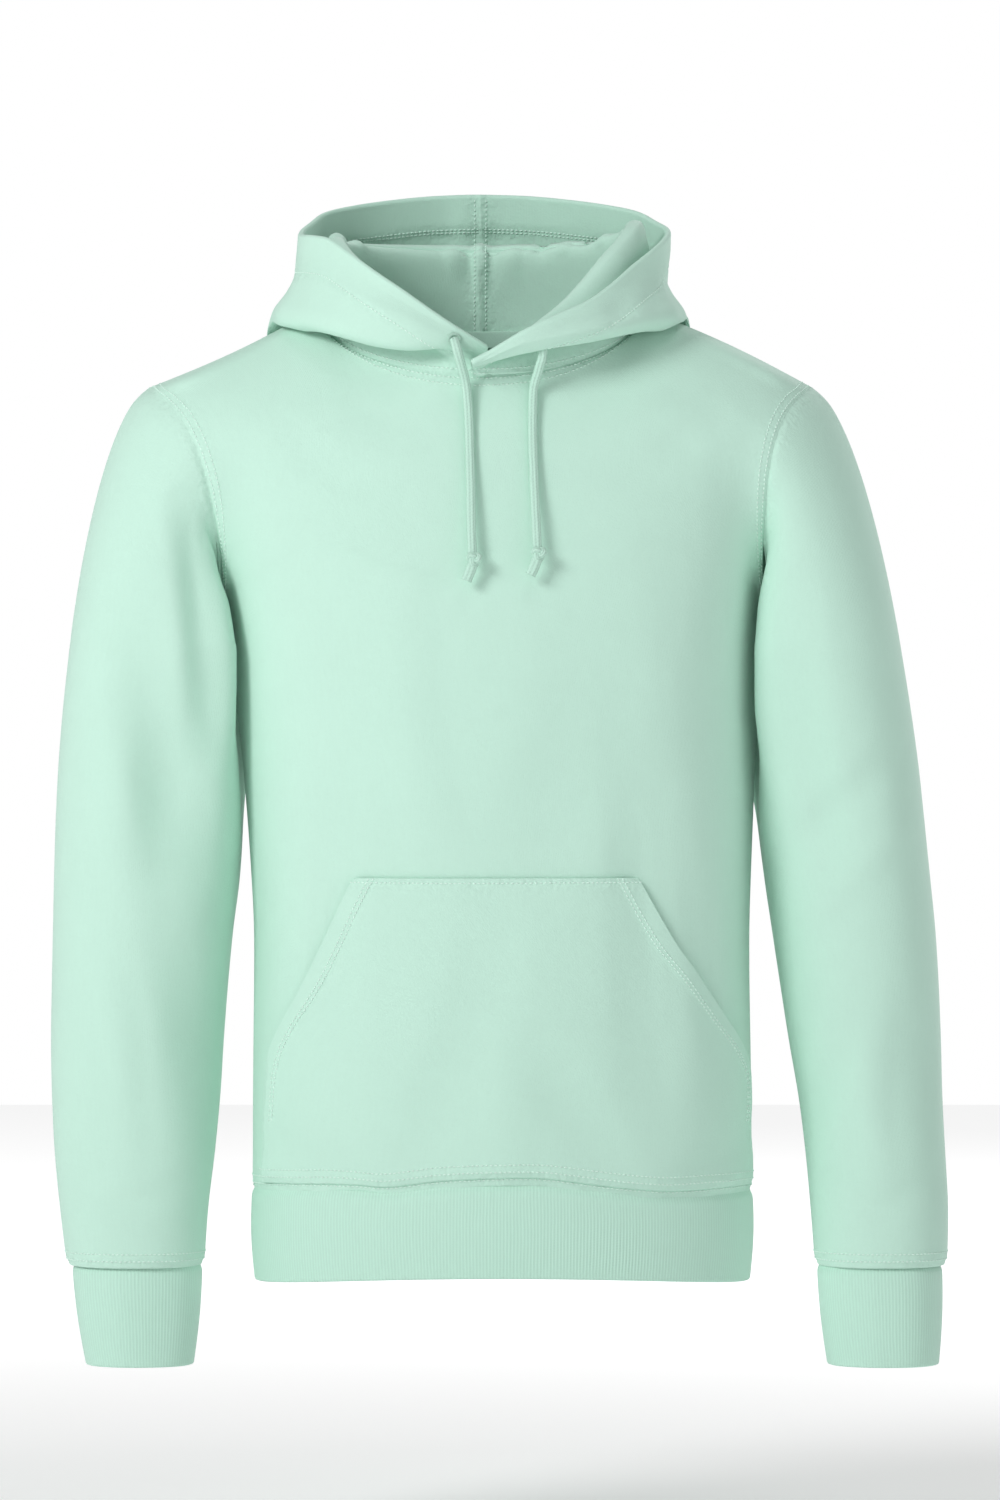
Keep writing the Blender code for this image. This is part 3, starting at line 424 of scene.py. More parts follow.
# Broad waves down the body: place and half width across, depth, and how low and high they reach
PANEL_WAVES = (
    {"across": -0.50, "wide": 0.16, "deep": 0.0030, "low": -0.58, "high": -0.25},
    {"across": 0.40, "wide": 0.14, "deep": 0.0035, "low": -0.60, "high": -0.30},
    {"across": 0.68, "wide": 0.10, "deep": 0.0040, "low": -0.57, "high": -0.33},
)
# How the hem seam rides up and down across the front
HEM_WAVE = {
    "x": (-0.170, -0.100, -0.079, -0.039, 0.019, 0.076, 0.111, 0.170),
    "up": (0.0034, 0.0000, -0.0020, 0.0014, 0.0034, -0.0020, -0.0038, 0.0014),
}
HEM_WAVE_REACH = 0.07
# Soft creases as seen from the front or the back: depth (a ridge is below 0), half width, route
CREASES = {
    "front": (
        (0.0024, 0.040, ((-0.186, -0.180), (-0.166, -0.230), (-0.150, -0.300))),
        (0.0026, 0.038, ((0.180, -0.170), (0.160, -0.225), (0.148, -0.300))),
        (0.0026, 0.046, ((0.060, -0.200), (0.062, -0.270), (0.035, -0.350), (0.010, -0.400))),
        (0.0022, 0.034, ((0.090, -0.260), (0.104, -0.380), (0.126, -0.470))),
        (-0.0024, 0.030, ((-0.068, -0.190), (-0.062, -0.280), (-0.045, -0.370))),
        (-0.0022, 0.024, ((0.132, -0.330), (0.138, -0.420), (0.132, -0.540))),
        (0.0028, 0.034, ((-0.056, -0.600), (-0.040, -0.550), (-0.016, -0.480), (-0.006, -0.430))),
        (0.0026, 0.030, ((0.078, -0.600), (0.058, -0.560), (0.026, -0.510))),
        (-0.0020, 0.026, ((0.010, -0.600), (0.006, -0.570), (0.010, -0.520))),
        (0.0030, 0.018, ((-0.085, -0.603), (-0.120, -0.588), (-0.158, -0.575))),
        (0.0024, 0.018, ((0.120, -0.600), (0.148, -0.582), (0.168, -0.562))),
        (0.0016, 0.020, ((-0.150, -0.080), (-0.110, -0.110), (-0.070, -0.120))),
        (0.0016, 0.018, ((0.150, -0.070), (0.110, -0.100), (0.070, -0.112))),
        (0.0024, 0.010, ((-0.236, -0.082), (-0.224, -0.088), (-0.210, -0.094))),
    ),
    "back": (
        (0.0028, 0.040, ((-0.186, -0.160), (-0.160, -0.225), (-0.130, -0.285))),
        (0.0026, 0.038, ((0.182, -0.170), (0.158, -0.235), (0.130, -0.300))),
        (-0.0024, 0.028, ((-0.150, -0.205), (-0.120, -0.270), (-0.090, -0.330))),
        (0.0036, 0.038, ((-0.060, -0.330), (-0.050, -0.420), (-0.062, -0.540))),
        (0.0032, 0.034, ((0.040, -0.360), (0.056, -0.450), (0.050, -0.560))),
        (-0.0026, 0.030, ((-0.005, -0.300), (0.000, -0.420), (-0.010, -0.560))),
        (0.0030, 0.026, ((-0.150, -0.470), (-0.110, -0.520), (-0.060, -0.560))),
        (0.0030, 0.026, ((0.160, -0.480), (0.115, -0.530), (0.075, -0.575))),
    ),
}
CREASE_CLEAR = 0.015
CREASE_STEPS = 10
CREASE_START = 0.08
CREASE_FADE = 0.7
SEAM_DIP = 0.0017
SEAM_DIP_REACH = 0.0032
PUCKER_REACH = 0.011
ARMHOLE_SHALLOW = 0.72
NECK_DIP = 0.0004
CHEST_EASE = {"z": -0.205, "reach": 0.14, "columns": 2, "passes": 8}
SHOULDER_COLUMNS = 6
NECK_COLUMNS = {"front": 16, "back": 14}
SIDE_ROWS = 11
ARMHOLE_ROWS = 9
FINE = 6
# Degrees of the points round the edge of a wall
EDGE_TURNS = (45, 90, 135)
SLUB_SCALE = (420.0, 60.0, 1.0)
WALE_PITCH = 0.0012
WALE_SHARE = 0.22
PUCKER_SHARE = 1.3
# Gain and start of the share between the dark and the light fleece
SHADE_RANGE = (0.6, -0.4)
# Extra places inside the first span beside a seam
NEAR_SEAM = (0.0, 0.03, 0.06, 0.10, 0.15, 0.22, 0.32, 0.46, 0.64, 0.82)


def smooth_through(places, values, at):
    """Read a smooth curve through (places, values): cubic between rows, with no overshoot."""
    places = np.asarray(places, float)
    values = np.asarray(values, float)
    at = np.clip(np.asarray(at, float), places[0], places[-1])
    steps = np.diff(places)
    slopes = np.diff(values) / steps
    tangents = np.zeros_like(values)
    tangents[0] = slopes[0]
    tangents[-1] = slopes[-1]
    same_way = slopes[:-1] * slopes[1:] > 0
    mean = 2 * slopes[:-1] * slopes[1:] / np.where(same_way, slopes[:-1] + slopes[1:], 1)
    tangents[1:-1] = np.where(same_way, mean, 0)
    row = np.clip(np.searchsorted(places, at, side="right") - 1, 0, len(steps) - 1)
    share = (at - places[row]) / steps[row]
    start = values[row] * (1 + 2 * share) * (1 - share) ** 2
    end = values[row + 1] * share**2 * (3 - 2 * share)
    bend = tangents[row] * (1 - share) - tangents[row + 1] * share
    return start + end + bend * steps[row] * share * (1 - share)


def bump(distance):
    """A soft hump of height 1 that reaches 0 at distance 1."""
    return np.where(np.abs(distance) < 1, (1 - np.minimum(distance**2, 1)) ** 2, 0.0)


def grid_normals(grid, closed, flip):
    """Outward normals of a grid of points (rows, columns), columns running round if closed."""
    if closed:
        across = np.roll(grid, -1, axis=1) - np.roll(grid, 1, axis=1)
    else:
        across = np.gradient(grid, axis=1)
    upward = np.gradient(grid, axis=0)
    normals = unit(np.cross(across, upward))
    return -normals if flip else normals


def spread(spans, per, near_start=True, near_end=True):
    """Fractional row or column numbers, closer together beside a seam."""
    at = np.linspace(0, spans, spans * per + 1)
    if near_start:
        at = np.concatenate((NEAR_SEAM, at[per:]))
    if near_end:
        at = np.concatenate((at[:-per], spans - np.array(NEAR_SEAM)[::-1]))
    return at


def refine(grid, rows_at, columns_at, closed=False):
    """A finer grid on the smooth surface through a coarse one."""
    tall = read_rows(grid, rows_at)
    return read_rows(tall.swapaxes(0, 1), columns_at, closed).swapaxes(0, 1)


def distance_from(grid, edge):
    """Distance of each point of a grid from one of its edges, along the cloth."""
    axis = 0 if edge in ("bottom", "top") else 1
    steps = np.linalg.norm(np.diff(grid, axis=axis), axis=2)
    zero = np.zeros_like(np.take(steps, [0], axis=axis))
    if edge in ("bottom", "left"):
        return np.concatenate((zero, steps.cumsum(axis=axis)), axis=axis)
    back = np.flip(np.flip(steps, axis).cumsum(axis=axis), axis)
    return np.concatenate((back, zero), axis=axis)


def press(grid, normals, table, faces):
    """Press soft creases into a grid. Distances are read as seen from the front."""
    places = grid[..., (0, 2)]
    depth = np.zeros(grid.shape[:2])
    for deep, wide, route in table:
        line = along(route, CREASE_STEPS)
        starts = line[:-1]
        run = np.diff(line, axis=0)
        away = places[..., None, :] - starts
        share = np.clip((away * run).sum(-1) / (run**2).sum(-1), 0, 1)
        gap = np.linalg.norm(away - share[..., None] * run, axis=-1)
        nearest = gap.argmin(axis=-1)
        least, part = (np.take_along_axis(values, nearest[..., None], -1)[..., 0] for values in (gap, share))
        length = (nearest + part) / len(run)
        fade = np.sin(pi * (CREASE_START + (1 - 2 * CREASE_START) * length)) ** CREASE_FADE
        depth += deep * bump(least / wide) * fade
    grid -= normals * (depth * faces)[..., None]


def dip_seams(grid, normals, depths):
    """Round the edges of a piece down into its seams, and give back where they draw it up."""
    drop = np.zeros(grid.shape[:2])
    pucker = np.zeros(grid.shape[:2])
    for edge, depth in depths.items():
        gap = distance_from(grid, edge)
        drop = np.maximum(drop, np.exp(-((gap / SEAM_DIP_REACH) ** 2)) * depth)
        pucker = np.maximum(pucker, np.exp(-((gap / PUCKER_REACH) ** 2)))
    grid -= normals * drop[..., None]
    return pucker


def armhole_dip(places):
    """Depth of the armhole seam by its row from the underarm: shallow over the shoulder."""
    top = (1 - np.cos(pi * np.clip(places, 0, 2 * ARMHOLE_ROWS) / ARMHOLE_ROWS)) / 2
    return SEAM_DIP * (1 - ARMHOLE_SHALLOW * top)


def cloth_wall(name, outer, normals, thick, finish, pucker, closed=False, flip=False):
    """A thin shell with rounded edges between an outer grid and its offset inside.

    pucker says from 0 to 1 how much each point is drawn up by a seam beside it.
    """
    thick = np.broadcast_to(thick, outer.shape[:2])[..., None]
    inner = outer - normals * thick
    edges = []
    for row, beside, first in ((-1, -2, outer), (0, 1, inner)):
        middle = (outer[row] + inner[row]) / 2
        ahead = unit(outer[row] - outer[beside]) * thick[row] / 2
        edges.append([middle + cos(turn) * (first[row] - middle) + sin(turn) * ahead
                      for turn in map(radians, EDGE_TURNS)])
    shell = np.concatenate((outer, edges[0], inner[::-1], edges[1]))
    rows, columns = shell.shape[:2]
    tall = distance_from(outer, "bottom")
    wide = distance_from(outer, "left")
    if closed:
        wide = np.broadcast_to(wide.mean(axis=0), wide.shape)
    faces = []
    for i in range(rows):
        a, b = i * columns, (i + 1) % rows * columns
        for j in range(columns if closed else columns - 1):
            k = (j + 1) % columns
            face = (a + j, a + k, b + k, b + j)
            faces.append(face[::-1] if flip else face)
    if not closed:
        top = len(outer) - 1
        inner_bottom = rows - len(EDGE_TURNS) - 1
        for j, turned in ((0, flip), (columns - 1, not flip)):
            ends = [(i, i + 1, inner_bottom - i - 1, inner_bottom - i) for i in range(top)]
            ends += [range(start, start + len(EDGE_TURNS) + 2) for start in (top, inner_bottom)]
            for end in ends:
                face = tuple(row % rows * columns + j for row in end)
                faces.append(face[::-1] if turned else face)
    place, soft = (np.concatenate((at, [at[-1]] * len(EDGE_TURNS), at[::-1], [at[0]] * len(EDGE_TURNS)))
                   for at in (np.stack((wide, tall), axis=-1), pucker))
    around = wide[0, -1] + np.linalg.norm(outer[:, 0] - outer[:, -1], axis=1).mean()
    piece = new_piece(name, shell.reshape(-1, 3), faces, finish, place.reshape(-1, 2),
                      wrap=around if closed else None)
    piece.data.attributes.new("pucker", "FLOAT", "POINT").data.foreach_set(
        "value", soft.astype(np.float32).ravel())
    return piece


def neck_ring(angle):
    """A point of the neckline. Angles run from the middle of the back, + to the wearer's left."""
    back = cos(angle) >= 0
    depth = NECK_BACK if back else NECK_FRONT
    drop = NECK_BACK_DROP if back else NECK_FRONT_DROP
    return np.array((
        NECK_X + NECK_HALF_WIDTH * sin(angle),
        depth * cos(angle),
        NECK_POINT_Z - drop * abs(cos(angle)),
    ))


def armhole_ring(side):
    """Closed armhole curve: underarm, up the front, shoulder tip, down the back."""
    sign = SIDES[side]
    across = [sign * x for x in ARMHOLE[side]]
    front = [(x, -y, z) for x, y, z in zip(across, ARMHOLE["front"], ARMHOLE["z"])]
    back = [(x, y, z) for x, y, z in zip(across, ARMHOLE["back"], ARMHOLE["z"])]
    return along(front + back[-2:0:-1], 2 * ARMHOLE_ROWS, closed=True)[:-1]


def side_edge(side, face):
    """Edge of a panel: the side seam from the hem up, then the armhole to the shoulder tip."""
    ring = armhole_ring(side)
    armhole = ring[: ARMHOLE_ROWS + 1]
    if face == "back":
        armhole = np.vstack((ring[:1], ring[: ARMHOLE_ROWS - 1 : -1]))
    heights = np.linspace(HEM_SEAM_Z, armhole[0, 2], SIDE_ROWS + 1)[:-1]
    across = smooth_through(TORSO["z"], TORSO[side], heights) * SIDES[side]
    seam = np.column_stack((across, np.zeros(SIDE_ROWS), heights))
    return np.vstack((seam, armhole))


def top_edge(face):
    """Shoulder seam, neckline, shoulder seam, from the wearer's right to the left."""
    start, end = (-pi / 2, -3 * pi / 2) if face == "front" else (-pi / 2, pi / 2)
    neck = np.array([neck_ring(a) for a in np.linspace(start, end, NECK_COLUMNS[face] + 1)])
    shoulders = []
    for side, point in (("right", neck[0]), ("left", neck[-1])):
        tip = armhole_ring(side)[ARMHOLE_ROWS]
        share = np.linspace(0, 1, SHOULDER_COLUMNS + 1)[:-1, None]
        line = tip + (point - tip) * share
        line[:, 2] += SHOULDER_CROWN[side] * np.sin(pi * share[:, 0])
        shoulders.append(line)
    return np.vstack((shoulders[0], neck, shoulders[1][::-1]))


def panel_grid(face):
    """Coarse points of the front or back: rows from hem to shoulder, columns right to left."""
    forward = -1 if face == "front" else 1
    top = top_edge(face)
    right = side_edge("right", face)
    left = side_edge("left", face)
    columns = len(top)
    across = np.linspace(-1, 1, columns)
    turn = across * pi / 2
    rise = HEM_FRONT_RISE * np.cos(turn) ** 2 if face == "front" else 0 * turn
    bottom_x = np.where(across < 0, TORSO["right"][0], TORSO["left"][0]) * np.sin(turn)
    bottom_z = HEM_SEAM_Z + rise
    grid = np.zeros((len(right), columns, 3))
    pull_right = ((1 - across) / 2) ** SIDE_BLEND
    pull_left = ((1 + across) / 2) ** SIDE_BLEND
    for i, (r, l) in enumerate(zip(right, left)):
        share, share_left = ((edge[2] - HEM_SEAM_Z) / (end[2] - HEM_SEAM_Z)
                             for edge, end in ((r, top[0]), (l, top[-1])))
        height = share + (share_left - share) * (across + 1) / 2
        base_x = (1 - height) * bottom_x + height * top[:, 0]
        x = base_x + pull_right * (r[0] - base_x[0]) + pull_left * (l[0] - base_x[-1])
        z = (1 - height) * bottom_z + height * top[:, 2]
        lateral = np.clip(np.where(x < 0, x / -r[0], x / l[0]), -1, 1)
        section = (1 - lateral**2) ** (SECTION_POWER / 2)
        depth = smooth_through(TORSO["z"], TORSO[face], z)
        ends = r[1] + (l[1] - r[1]) * (lateral + 1) / 2
        row = ends + (forward * depth - ends) * section
        outward = smooth_through(NECK_REACH, (0, 1), np.abs(lateral))
        roll_power = ROLL_POWERS[0] + (ROLL_POWERS[1] - ROLL_POWERS[0]) * outward
        rolled = np.clip((height - ROLL_START) / (1 - ROLL_START), 0, 1)
        stays = (1 - rolled**roll_power) ** (1 / roll_power)
        stays = 1 - (1 - stays) * (1 - lateral**ROLL_SIDE_POWER)
        grid[i] = np.column_stack((x, top[:, 1] + (row - top[:, 1]) * stays, z))
        grid[i, 0] = r
        grid[i, -1] = l
    row = np.arange(len(grid))
    weight = np.minimum(np.minimum(row, row[::-1]) / EASE_DEPTH, 1)[:, None, None] / 2
    for _ in range(EASE_PASSES):
        middle = (grid[:, :-2] + grid[:, 2:]) / 2
        grid[:, 1:-1] += (middle - grid[:, 1:-1]) * weight
    for fold in PANEL_WAVES:
        middle = (fold["low"] + fold["high"]) / 2
        half = (fold["high"] - fold["low"]) / 2
        place = bump((across[None, :] - fold["across"] * -forward) / fold["wide"])
        tall = bump((grid[:, :, 2] - middle) / half)
        grid[:, :, 1] -= forward * fold["deep"] * place * tall
    near_side = np.minimum(np.arange(columns), np.arange(columns)[::-1])
    free = np.clip(near_side / CHEST_EASE["columns"], 0, 1)
    for _ in range(CHEST_EASE["passes"]):
        off = (grid[:-2, :, 1] + grid[2:, :, 1]) / 2 - grid[1:-1, :, 1]
        tall = bump((grid[1:-1, :, 2] - CHEST_EASE["z"]) / CHEST_EASE["reach"])
        grid[1:-1, :, 1] += off * free * tall
    grid[-1, near_side <= SHOULDER_COLUMNS, 1] = 0
    return grid


def hem_wave(x):
    """How far the hem seam rides up in front."""
    return smooth_through(HEM_WAVE["x"], HEM_WAVE["up"], x)


def object_noise(tree, scale, detail):
    """Noise that is fixed to the object."""
    place = tree.nodes.new("ShaderNodeTexCoord").outputs["Object"]
    return add_node(tree, "ShaderNodeTexNoise", {"Vector": place, "Scale": scale, "Detail": detail})


def fleece_finish(name, colour):
    """Brushed fleece: fine knitted wales, uneven nap and a faint mottle."""
    finish, tree, surface = cloth_material(name, roughness=0.88, sheen=0.30)
    layer, across, _ = uv_coordinates(tree)
    mottle = object_noise(tree, scale=22.0, detail=4.0)
    nap = object_noise(tree, scale=700.0, detail=3.0)
    gather = object_noise(tree, scale=210.0, detail=1.0)
    slub = add_node(tree, "ShaderNodeMapping", {"Vector": layer, "Scale": SLUB_SCALE})
    streak = add_node(tree, "ShaderNodeTexNoise", {"Vector": slub, "Scale": 1.0, "Detail": 2.0})
    rough = math_node(tree, "MULTIPLY_ADD", ridges(tree, across, WALE_PITCH), WALE_SHARE, nap)
    fine = add_node(tree, "ShaderNodeBump", {"Strength": 0.40, "Distance": 0.00045, "Height": rough})
    drawn = add_node(tree, "ShaderNodeAttribute", attribute_name="pucker").node.outputs["Fac"]
    drawn_up = math_node(tree, "MULTIPLY", gather, drawn)
    relief = math_node(tree, "MULTIPLY_ADD", drawn_up, PUCKER_SHARE, mottle)
    soft = add_node(tree, "ShaderNodeBump",
                    {"Strength": 0.75, "Distance": 0.0013, "Height": relief, "Normal": fine})
    uneven = math_node(tree, "ADD", math_node(tree, "ADD", mottle, streak), nap)
    shade = math_node(tree, "MULTIPLY_ADD", uneven, *SHADE_RANGE)
    dress(surface, soft, colour, shade, light=1.025, dark=0.975)
    return finish


fleece = fleece_finish("fleece", FLEECE_COLOUR)
armhole_at = np.linspace(0, ARMHOLE_ROWS, ARMHOLE_ROWS * FINE + 1)[:-FINE]
armhole_at = np.concatenate((armhole_at, ARMHOLE_ROWS - np.array(NEAR_SEAM)[::-1]))
side_at = spread(SIDE_ROWS, FINE, near_end=False)
panel_rows_at = np.concatenate((side_at[:-1], SIDE_ROWS + armhole_at))
first_armhole_row = len(side_at) - 1
shoulder = SHOULDER_COLUMNS * FINE
body = {}
for face in ("front", "back"):
    flip = face == "back"
    coarse = panel_grid(face)
    last_column = coarse.shape[1] - 1
    columns_at = spread(last_column, FINE)
    grid = refine(coarse, panel_rows_at, columns_at)
    if face == "front":
        grid[..., 2] += hem_wave(grid[..., 0]) * bump(distance_from(grid, "bottom") / HEM_WAVE_REACH)
    normals = grid_normals(grid, False, flip)
    inside = np.minimum(distance_from(grid, "left"), distance_from(grid, "right"))
    press(grid, normals, CREASES[face], np.clip(inside / CREASE_CLEAR, 0, 1))
    normals = grid_normals(grid, False, flip)
    for seam in (normals[:first_armhole_row, :1], normals[:first_armhole_row, -1:],
                 normals[-1:, :shoulder], normals[-1:, -shoulder:]):
        seam[..., 1] = 0
        seam[...] = unit(seam)
    body[face] = {"coarse": coarse, "flat": grid.copy(), "grid": grid, "normals": normals,
                  "columns_at": columns_at}
    beside = armhole_dip(panel_rows_at - SIDE_ROWS)[:, None]
    in_neck = np.minimum(columns_at, last_column - columns_at) >= SHOULDER_COLUMNS
    over = np.where(in_neck, NECK_DIP, SEAM_DIP * (1 - ARMHOLE_SHALLOW))[None]
    pucker = dip_seams(grid, normals, {"left": beside, "right": beside, "top": over,
                                       "bottom": SEAM_DIP})
    cloth = cloth_wall(f"{face}_cloth", grid, normals, FLEECE, fleece, pucker, flip=flip)
    finish_piece(cloth, "fleece", f"{face}_panel")

# ---------------------------------------------------------------- hem rib and cuffs
# Two-by-two rib knit, folded double, a little narrower than the fleece that is gathered
# into it. The fold at the open end is soft.
RIB_COLOUR = (0.530, 0.795, 0.670, 1)
RIB = 0.0026
RIB_PITCH = 0.0023
RIB_SWAY = 0.0016
RIB_NAP_SHARE = 0.35
COURSE_PITCH = 0.0011
COURSE_SHARE = 0.12
BAND_ROWS = 4
HEM_COLUMNS = 264
HEM_SWELL = 0.0016
HEM_INSET = 0.0004
HEM_WAVE_FADE = 1.5
CUFF_SEAM_Z = -0.658
CUFF_BOTTOM_Z = -0.7265
CUFF_SWELL = 0.0012
CUFF_COLUMN_STEP = 1 / 8
OVAL_POWER = 0.92
# Outer edge, inner edge and half depth, each at the seam and at the bottom
CUFFS = {
    "right": ((0.2981, 0.2881), (0.2072, 0.2129), (0.0435, 0.0370)),
    "left": ((0.3080, 0.3055), (0.2207, 0.2275), (0.0435, 0.0380)),
}
CUFF_CENTRE_Y = (-0.0240, -0.0300)
# Shallow leans pressed into each cuff: angle round it, depth and half width
CUFF_LEANS = {
    "right": ((70, 0.0016, 34), (150, -0.0012, 30)),
    "left": ((60, 0.0014, 30), (120, -0.0014, 34)),
}
CUFF_LEAN_REACH = (0.08, 0.8)


def rib_finish(name, colour):
    """Vertical knitted ribs with painted shade in their valleys, and fine courses across them."""
    finish, tree, surface = cloth_material(name, roughness=0.88, sheen=0.26)
    _, across, up = uv_coordinates(tree)
    nap = object_noise(tree, scale=800.0, detail=2.0)
    bent = math_node(tree, "MULTIPLY_ADD", object_noise(tree, scale=30.0, detail=1.0), RIB_SWAY, across)
    ribs_and_nap = math_node(tree, "MULTIPLY_ADD", nap, RIB_NAP_SHARE, ridges(tree, bent, RIB_PITCH))
    relief = math_node(tree, "MULTIPLY_ADD", ridges(tree, up, COURSE_PITCH), COURSE_SHARE, ribs_and_nap)
    raised = add_node(tree, "ShaderNodeBump", {"Strength": 0.28, "Distance": 0.0005, "Height": relief})
    # The colour follows the rib height: painted shade in the valleys, a painted highlight on the crests, and
    # random tone from the nap
    dress(surface, raised, colour, ribs_and_nap, light=1.03, dark=0.945)
    return finish


def oval(outer, inner, depth, centre_y, z, count=2 * ARMHOLE_ROWS):
    """A level oval ring between an outer and an inner edge, starting on its inner side."""
    turn = all_round(count)
    across, deep = (np.sign(way) * np.abs(way) ** OVAL_POWER for way in (np.cos(turn), np.sin(turn)))
    x = (outer + inner) / 2 - (outer - inner) / 2 * across
    return np.column_stack((x, centre_y - depth * deep, np.full(count, z)))


def level_normals(grid, flip):
    """Outward normals of a tube, all level."""
    normals = grid_normals(grid, True, flip)
    normals[..., 2] = 0
    return unit(normals)


rib_knit = rib_finish("rib_knit", RIB_COLOUR)
turn = all_round(HEM_COLUMNS)
in_front = np.sin(turn) < 0
rows = []
for share in spread(BAND_ROWS, FINE) / BAND_ROWS:
    swell = HEM_SWELL * (sin(pi * share) - share)
    width = np.where(np.cos(turn) < 0, TORSO["right"][0], TORSO["left"][0]) + swell
    depth = np.where(in_front, TORSO["front"][0], TORSO["back"][0]) + swell - HEM_INSET
    x = width * np.cos(turn)
    y = depth * np.sign(np.sin(turn)) * np.abs(np.sin(turn)) ** SECTION_POWER
    rise = HEM_FRONT_RISE * np.sin(turn) ** 2 + hem_wave(x) * (1 - share) ** HEM_WAVE_FADE
    z = HEM_SEAM_Z + (HEM_BOTTOM_Z - HEM_SEAM_Z) * share + rise * in_front
    rows.append(np.column_stack((x, y, z)))
band = np.array(rows)
band_normals = level_normals(band, True)
pucker = dip_seams(band, band_normals, {"bottom": SEAM_DIP})
hem = cloth_wall("hem_band", band, band_normals, RIB, rib_knit, pucker, closed=True, flip=True)
finish_piece(hem, "rib_knit", "hem_rib")

for side, sign in SIDES.items():
    rows = []
    for share in np.linspace(0, 1, BAND_ROWS + 1):
        swell = CUFF_SWELL * sin(pi * share)
        outer, inner, depth, centre_y, z = (
            seam + (bottom - seam) * share
            for seam, bottom in (*CUFFS[side], CUFF_CENTRE_Y, (CUFF_SEAM_Z, CUFF_BOTTOM_Z)))
        rows.append(oval(sign * (outer + swell), sign * (inner - swell), depth + swell, centre_y, z))
    columns_at = np.arange(0, 2 * ARMHOLE_ROWS, CUFF_COLUMN_STEP)
    cuff = refine(np.array(rows), spread(BAND_ROWS, FINE), columns_at, closed=True)
    flip = side == "left"
    normals = level_normals(cuff, flip)
    degrees = columns_at / (2 * ARMHOLE_ROWS) * 360
    tall = np.sin(pi * np.linspace(*CUFF_LEAN_REACH, len(cuff)))[:, None]
    for angle, deep, wide in CUFF_LEANS[side]:
        cuff -= normals * (deep * tall * bump((degrees - angle) / wide)[None])[..., None]
    pucker = dip_seams(cuff, normals, {"bottom": SEAM_DIP})
    band_piece = cloth_wall(f"cuff_band_{side}", cuff, normals, RIB, rib_knit, pucker, closed=True,
                            flip=flip)
    finish_piece(band_piece, "rib_knit", f"cuff_{side}")

# ---------------------------------------------------------------- sleeves
# One piece each, set into the armhole and sewn along the underarm. They hang beside the body
# and puff a little over the cuffs.
SLEEVE_ROWS = 18
CAP_ROWS = 7
CAP_OUT = (0.020, 0.090)
CAP_DOWN = (0.010, 0.055)
CAP_ARRIVE = (0.05, 0.18)
CAP_LOOK = 0.02
REST_GAP = 0.0032
BESIDE_START = 0.45
BESIDE_LEAST = 0.10
BESIDE_SOFT = 0.0012
BESIDE_LOOK = (-0.012, -0.006, 0.0, 0.006, 0.012)
SEAM_FADE = 0.022
AGREE_START = 0.2
AGREE_REACH = 0.7
CREASE_TURN = 2
# Height, half depth and centre of both sleeves, then the outer and the inner edge of each
SLEEVE_Z = (-0.235, -0.300, -0.370, -0.440, -0.500, -0.560, -0.615, -0.660)
SLEEVE_DEPTH = (0.0740, 0.0730, 0.0700, 0.0660, 0.0620, 0.0570, 0.0520, 0.0470)
SLEEVE_CENTRE_Y = (0.004, 0.008, 0.008, 0.004, -0.002, -0.010, -0.018, -0.024)
SLEEVES = {
    "right": ((0.3020, 0.3087, 0.3120, 0.3133, 0.3140, 0.3123, 0.3073, 0.3016),
              (0.1640, 0.1730, 0.1800, 0.1883, 0.1930, 0.1967, 0.2030, 0.2060)),
    "left": ((0.2816, 0.2918, 0.2993, 0.3058, 0.3083, 0.3095, 0.3125, 0.3115),
             (0.1580, 0.1680, 0.1820, 0.1925, 0.2015, 0.2110, 0.2162, 0.2194)),
}
# Broad folds: height, angle round the sleeve from its inner side, depth and half sizes
SLEEVE_FOLDS = {
    "right": (
        {"z": -0.330, "angle": 75, "deep": 0.0065, "tall": 0.100, "wide": 30},
        {"z": -0.560, "angle": 110, "deep": 0.0040, "tall": 0.050, "wide": 60},
        {"z": -0.400, "angle": 255, "deep": 0.0060, "tall": 0.080, "wide": 35},
    ),
    "left": (
        {"z": -0.350, "angle": 80, "deep": 0.0050, "tall": 0.110, "wide": 32},
        {"z": -0.520, "angle": 120, "deep": 0.0040, "tall": 0.060, "wide": 50},
        {"z": -0.410, "angle": 260, "deep": 0.0060, "tall": 0.070, "wide": 38},
    ),
}
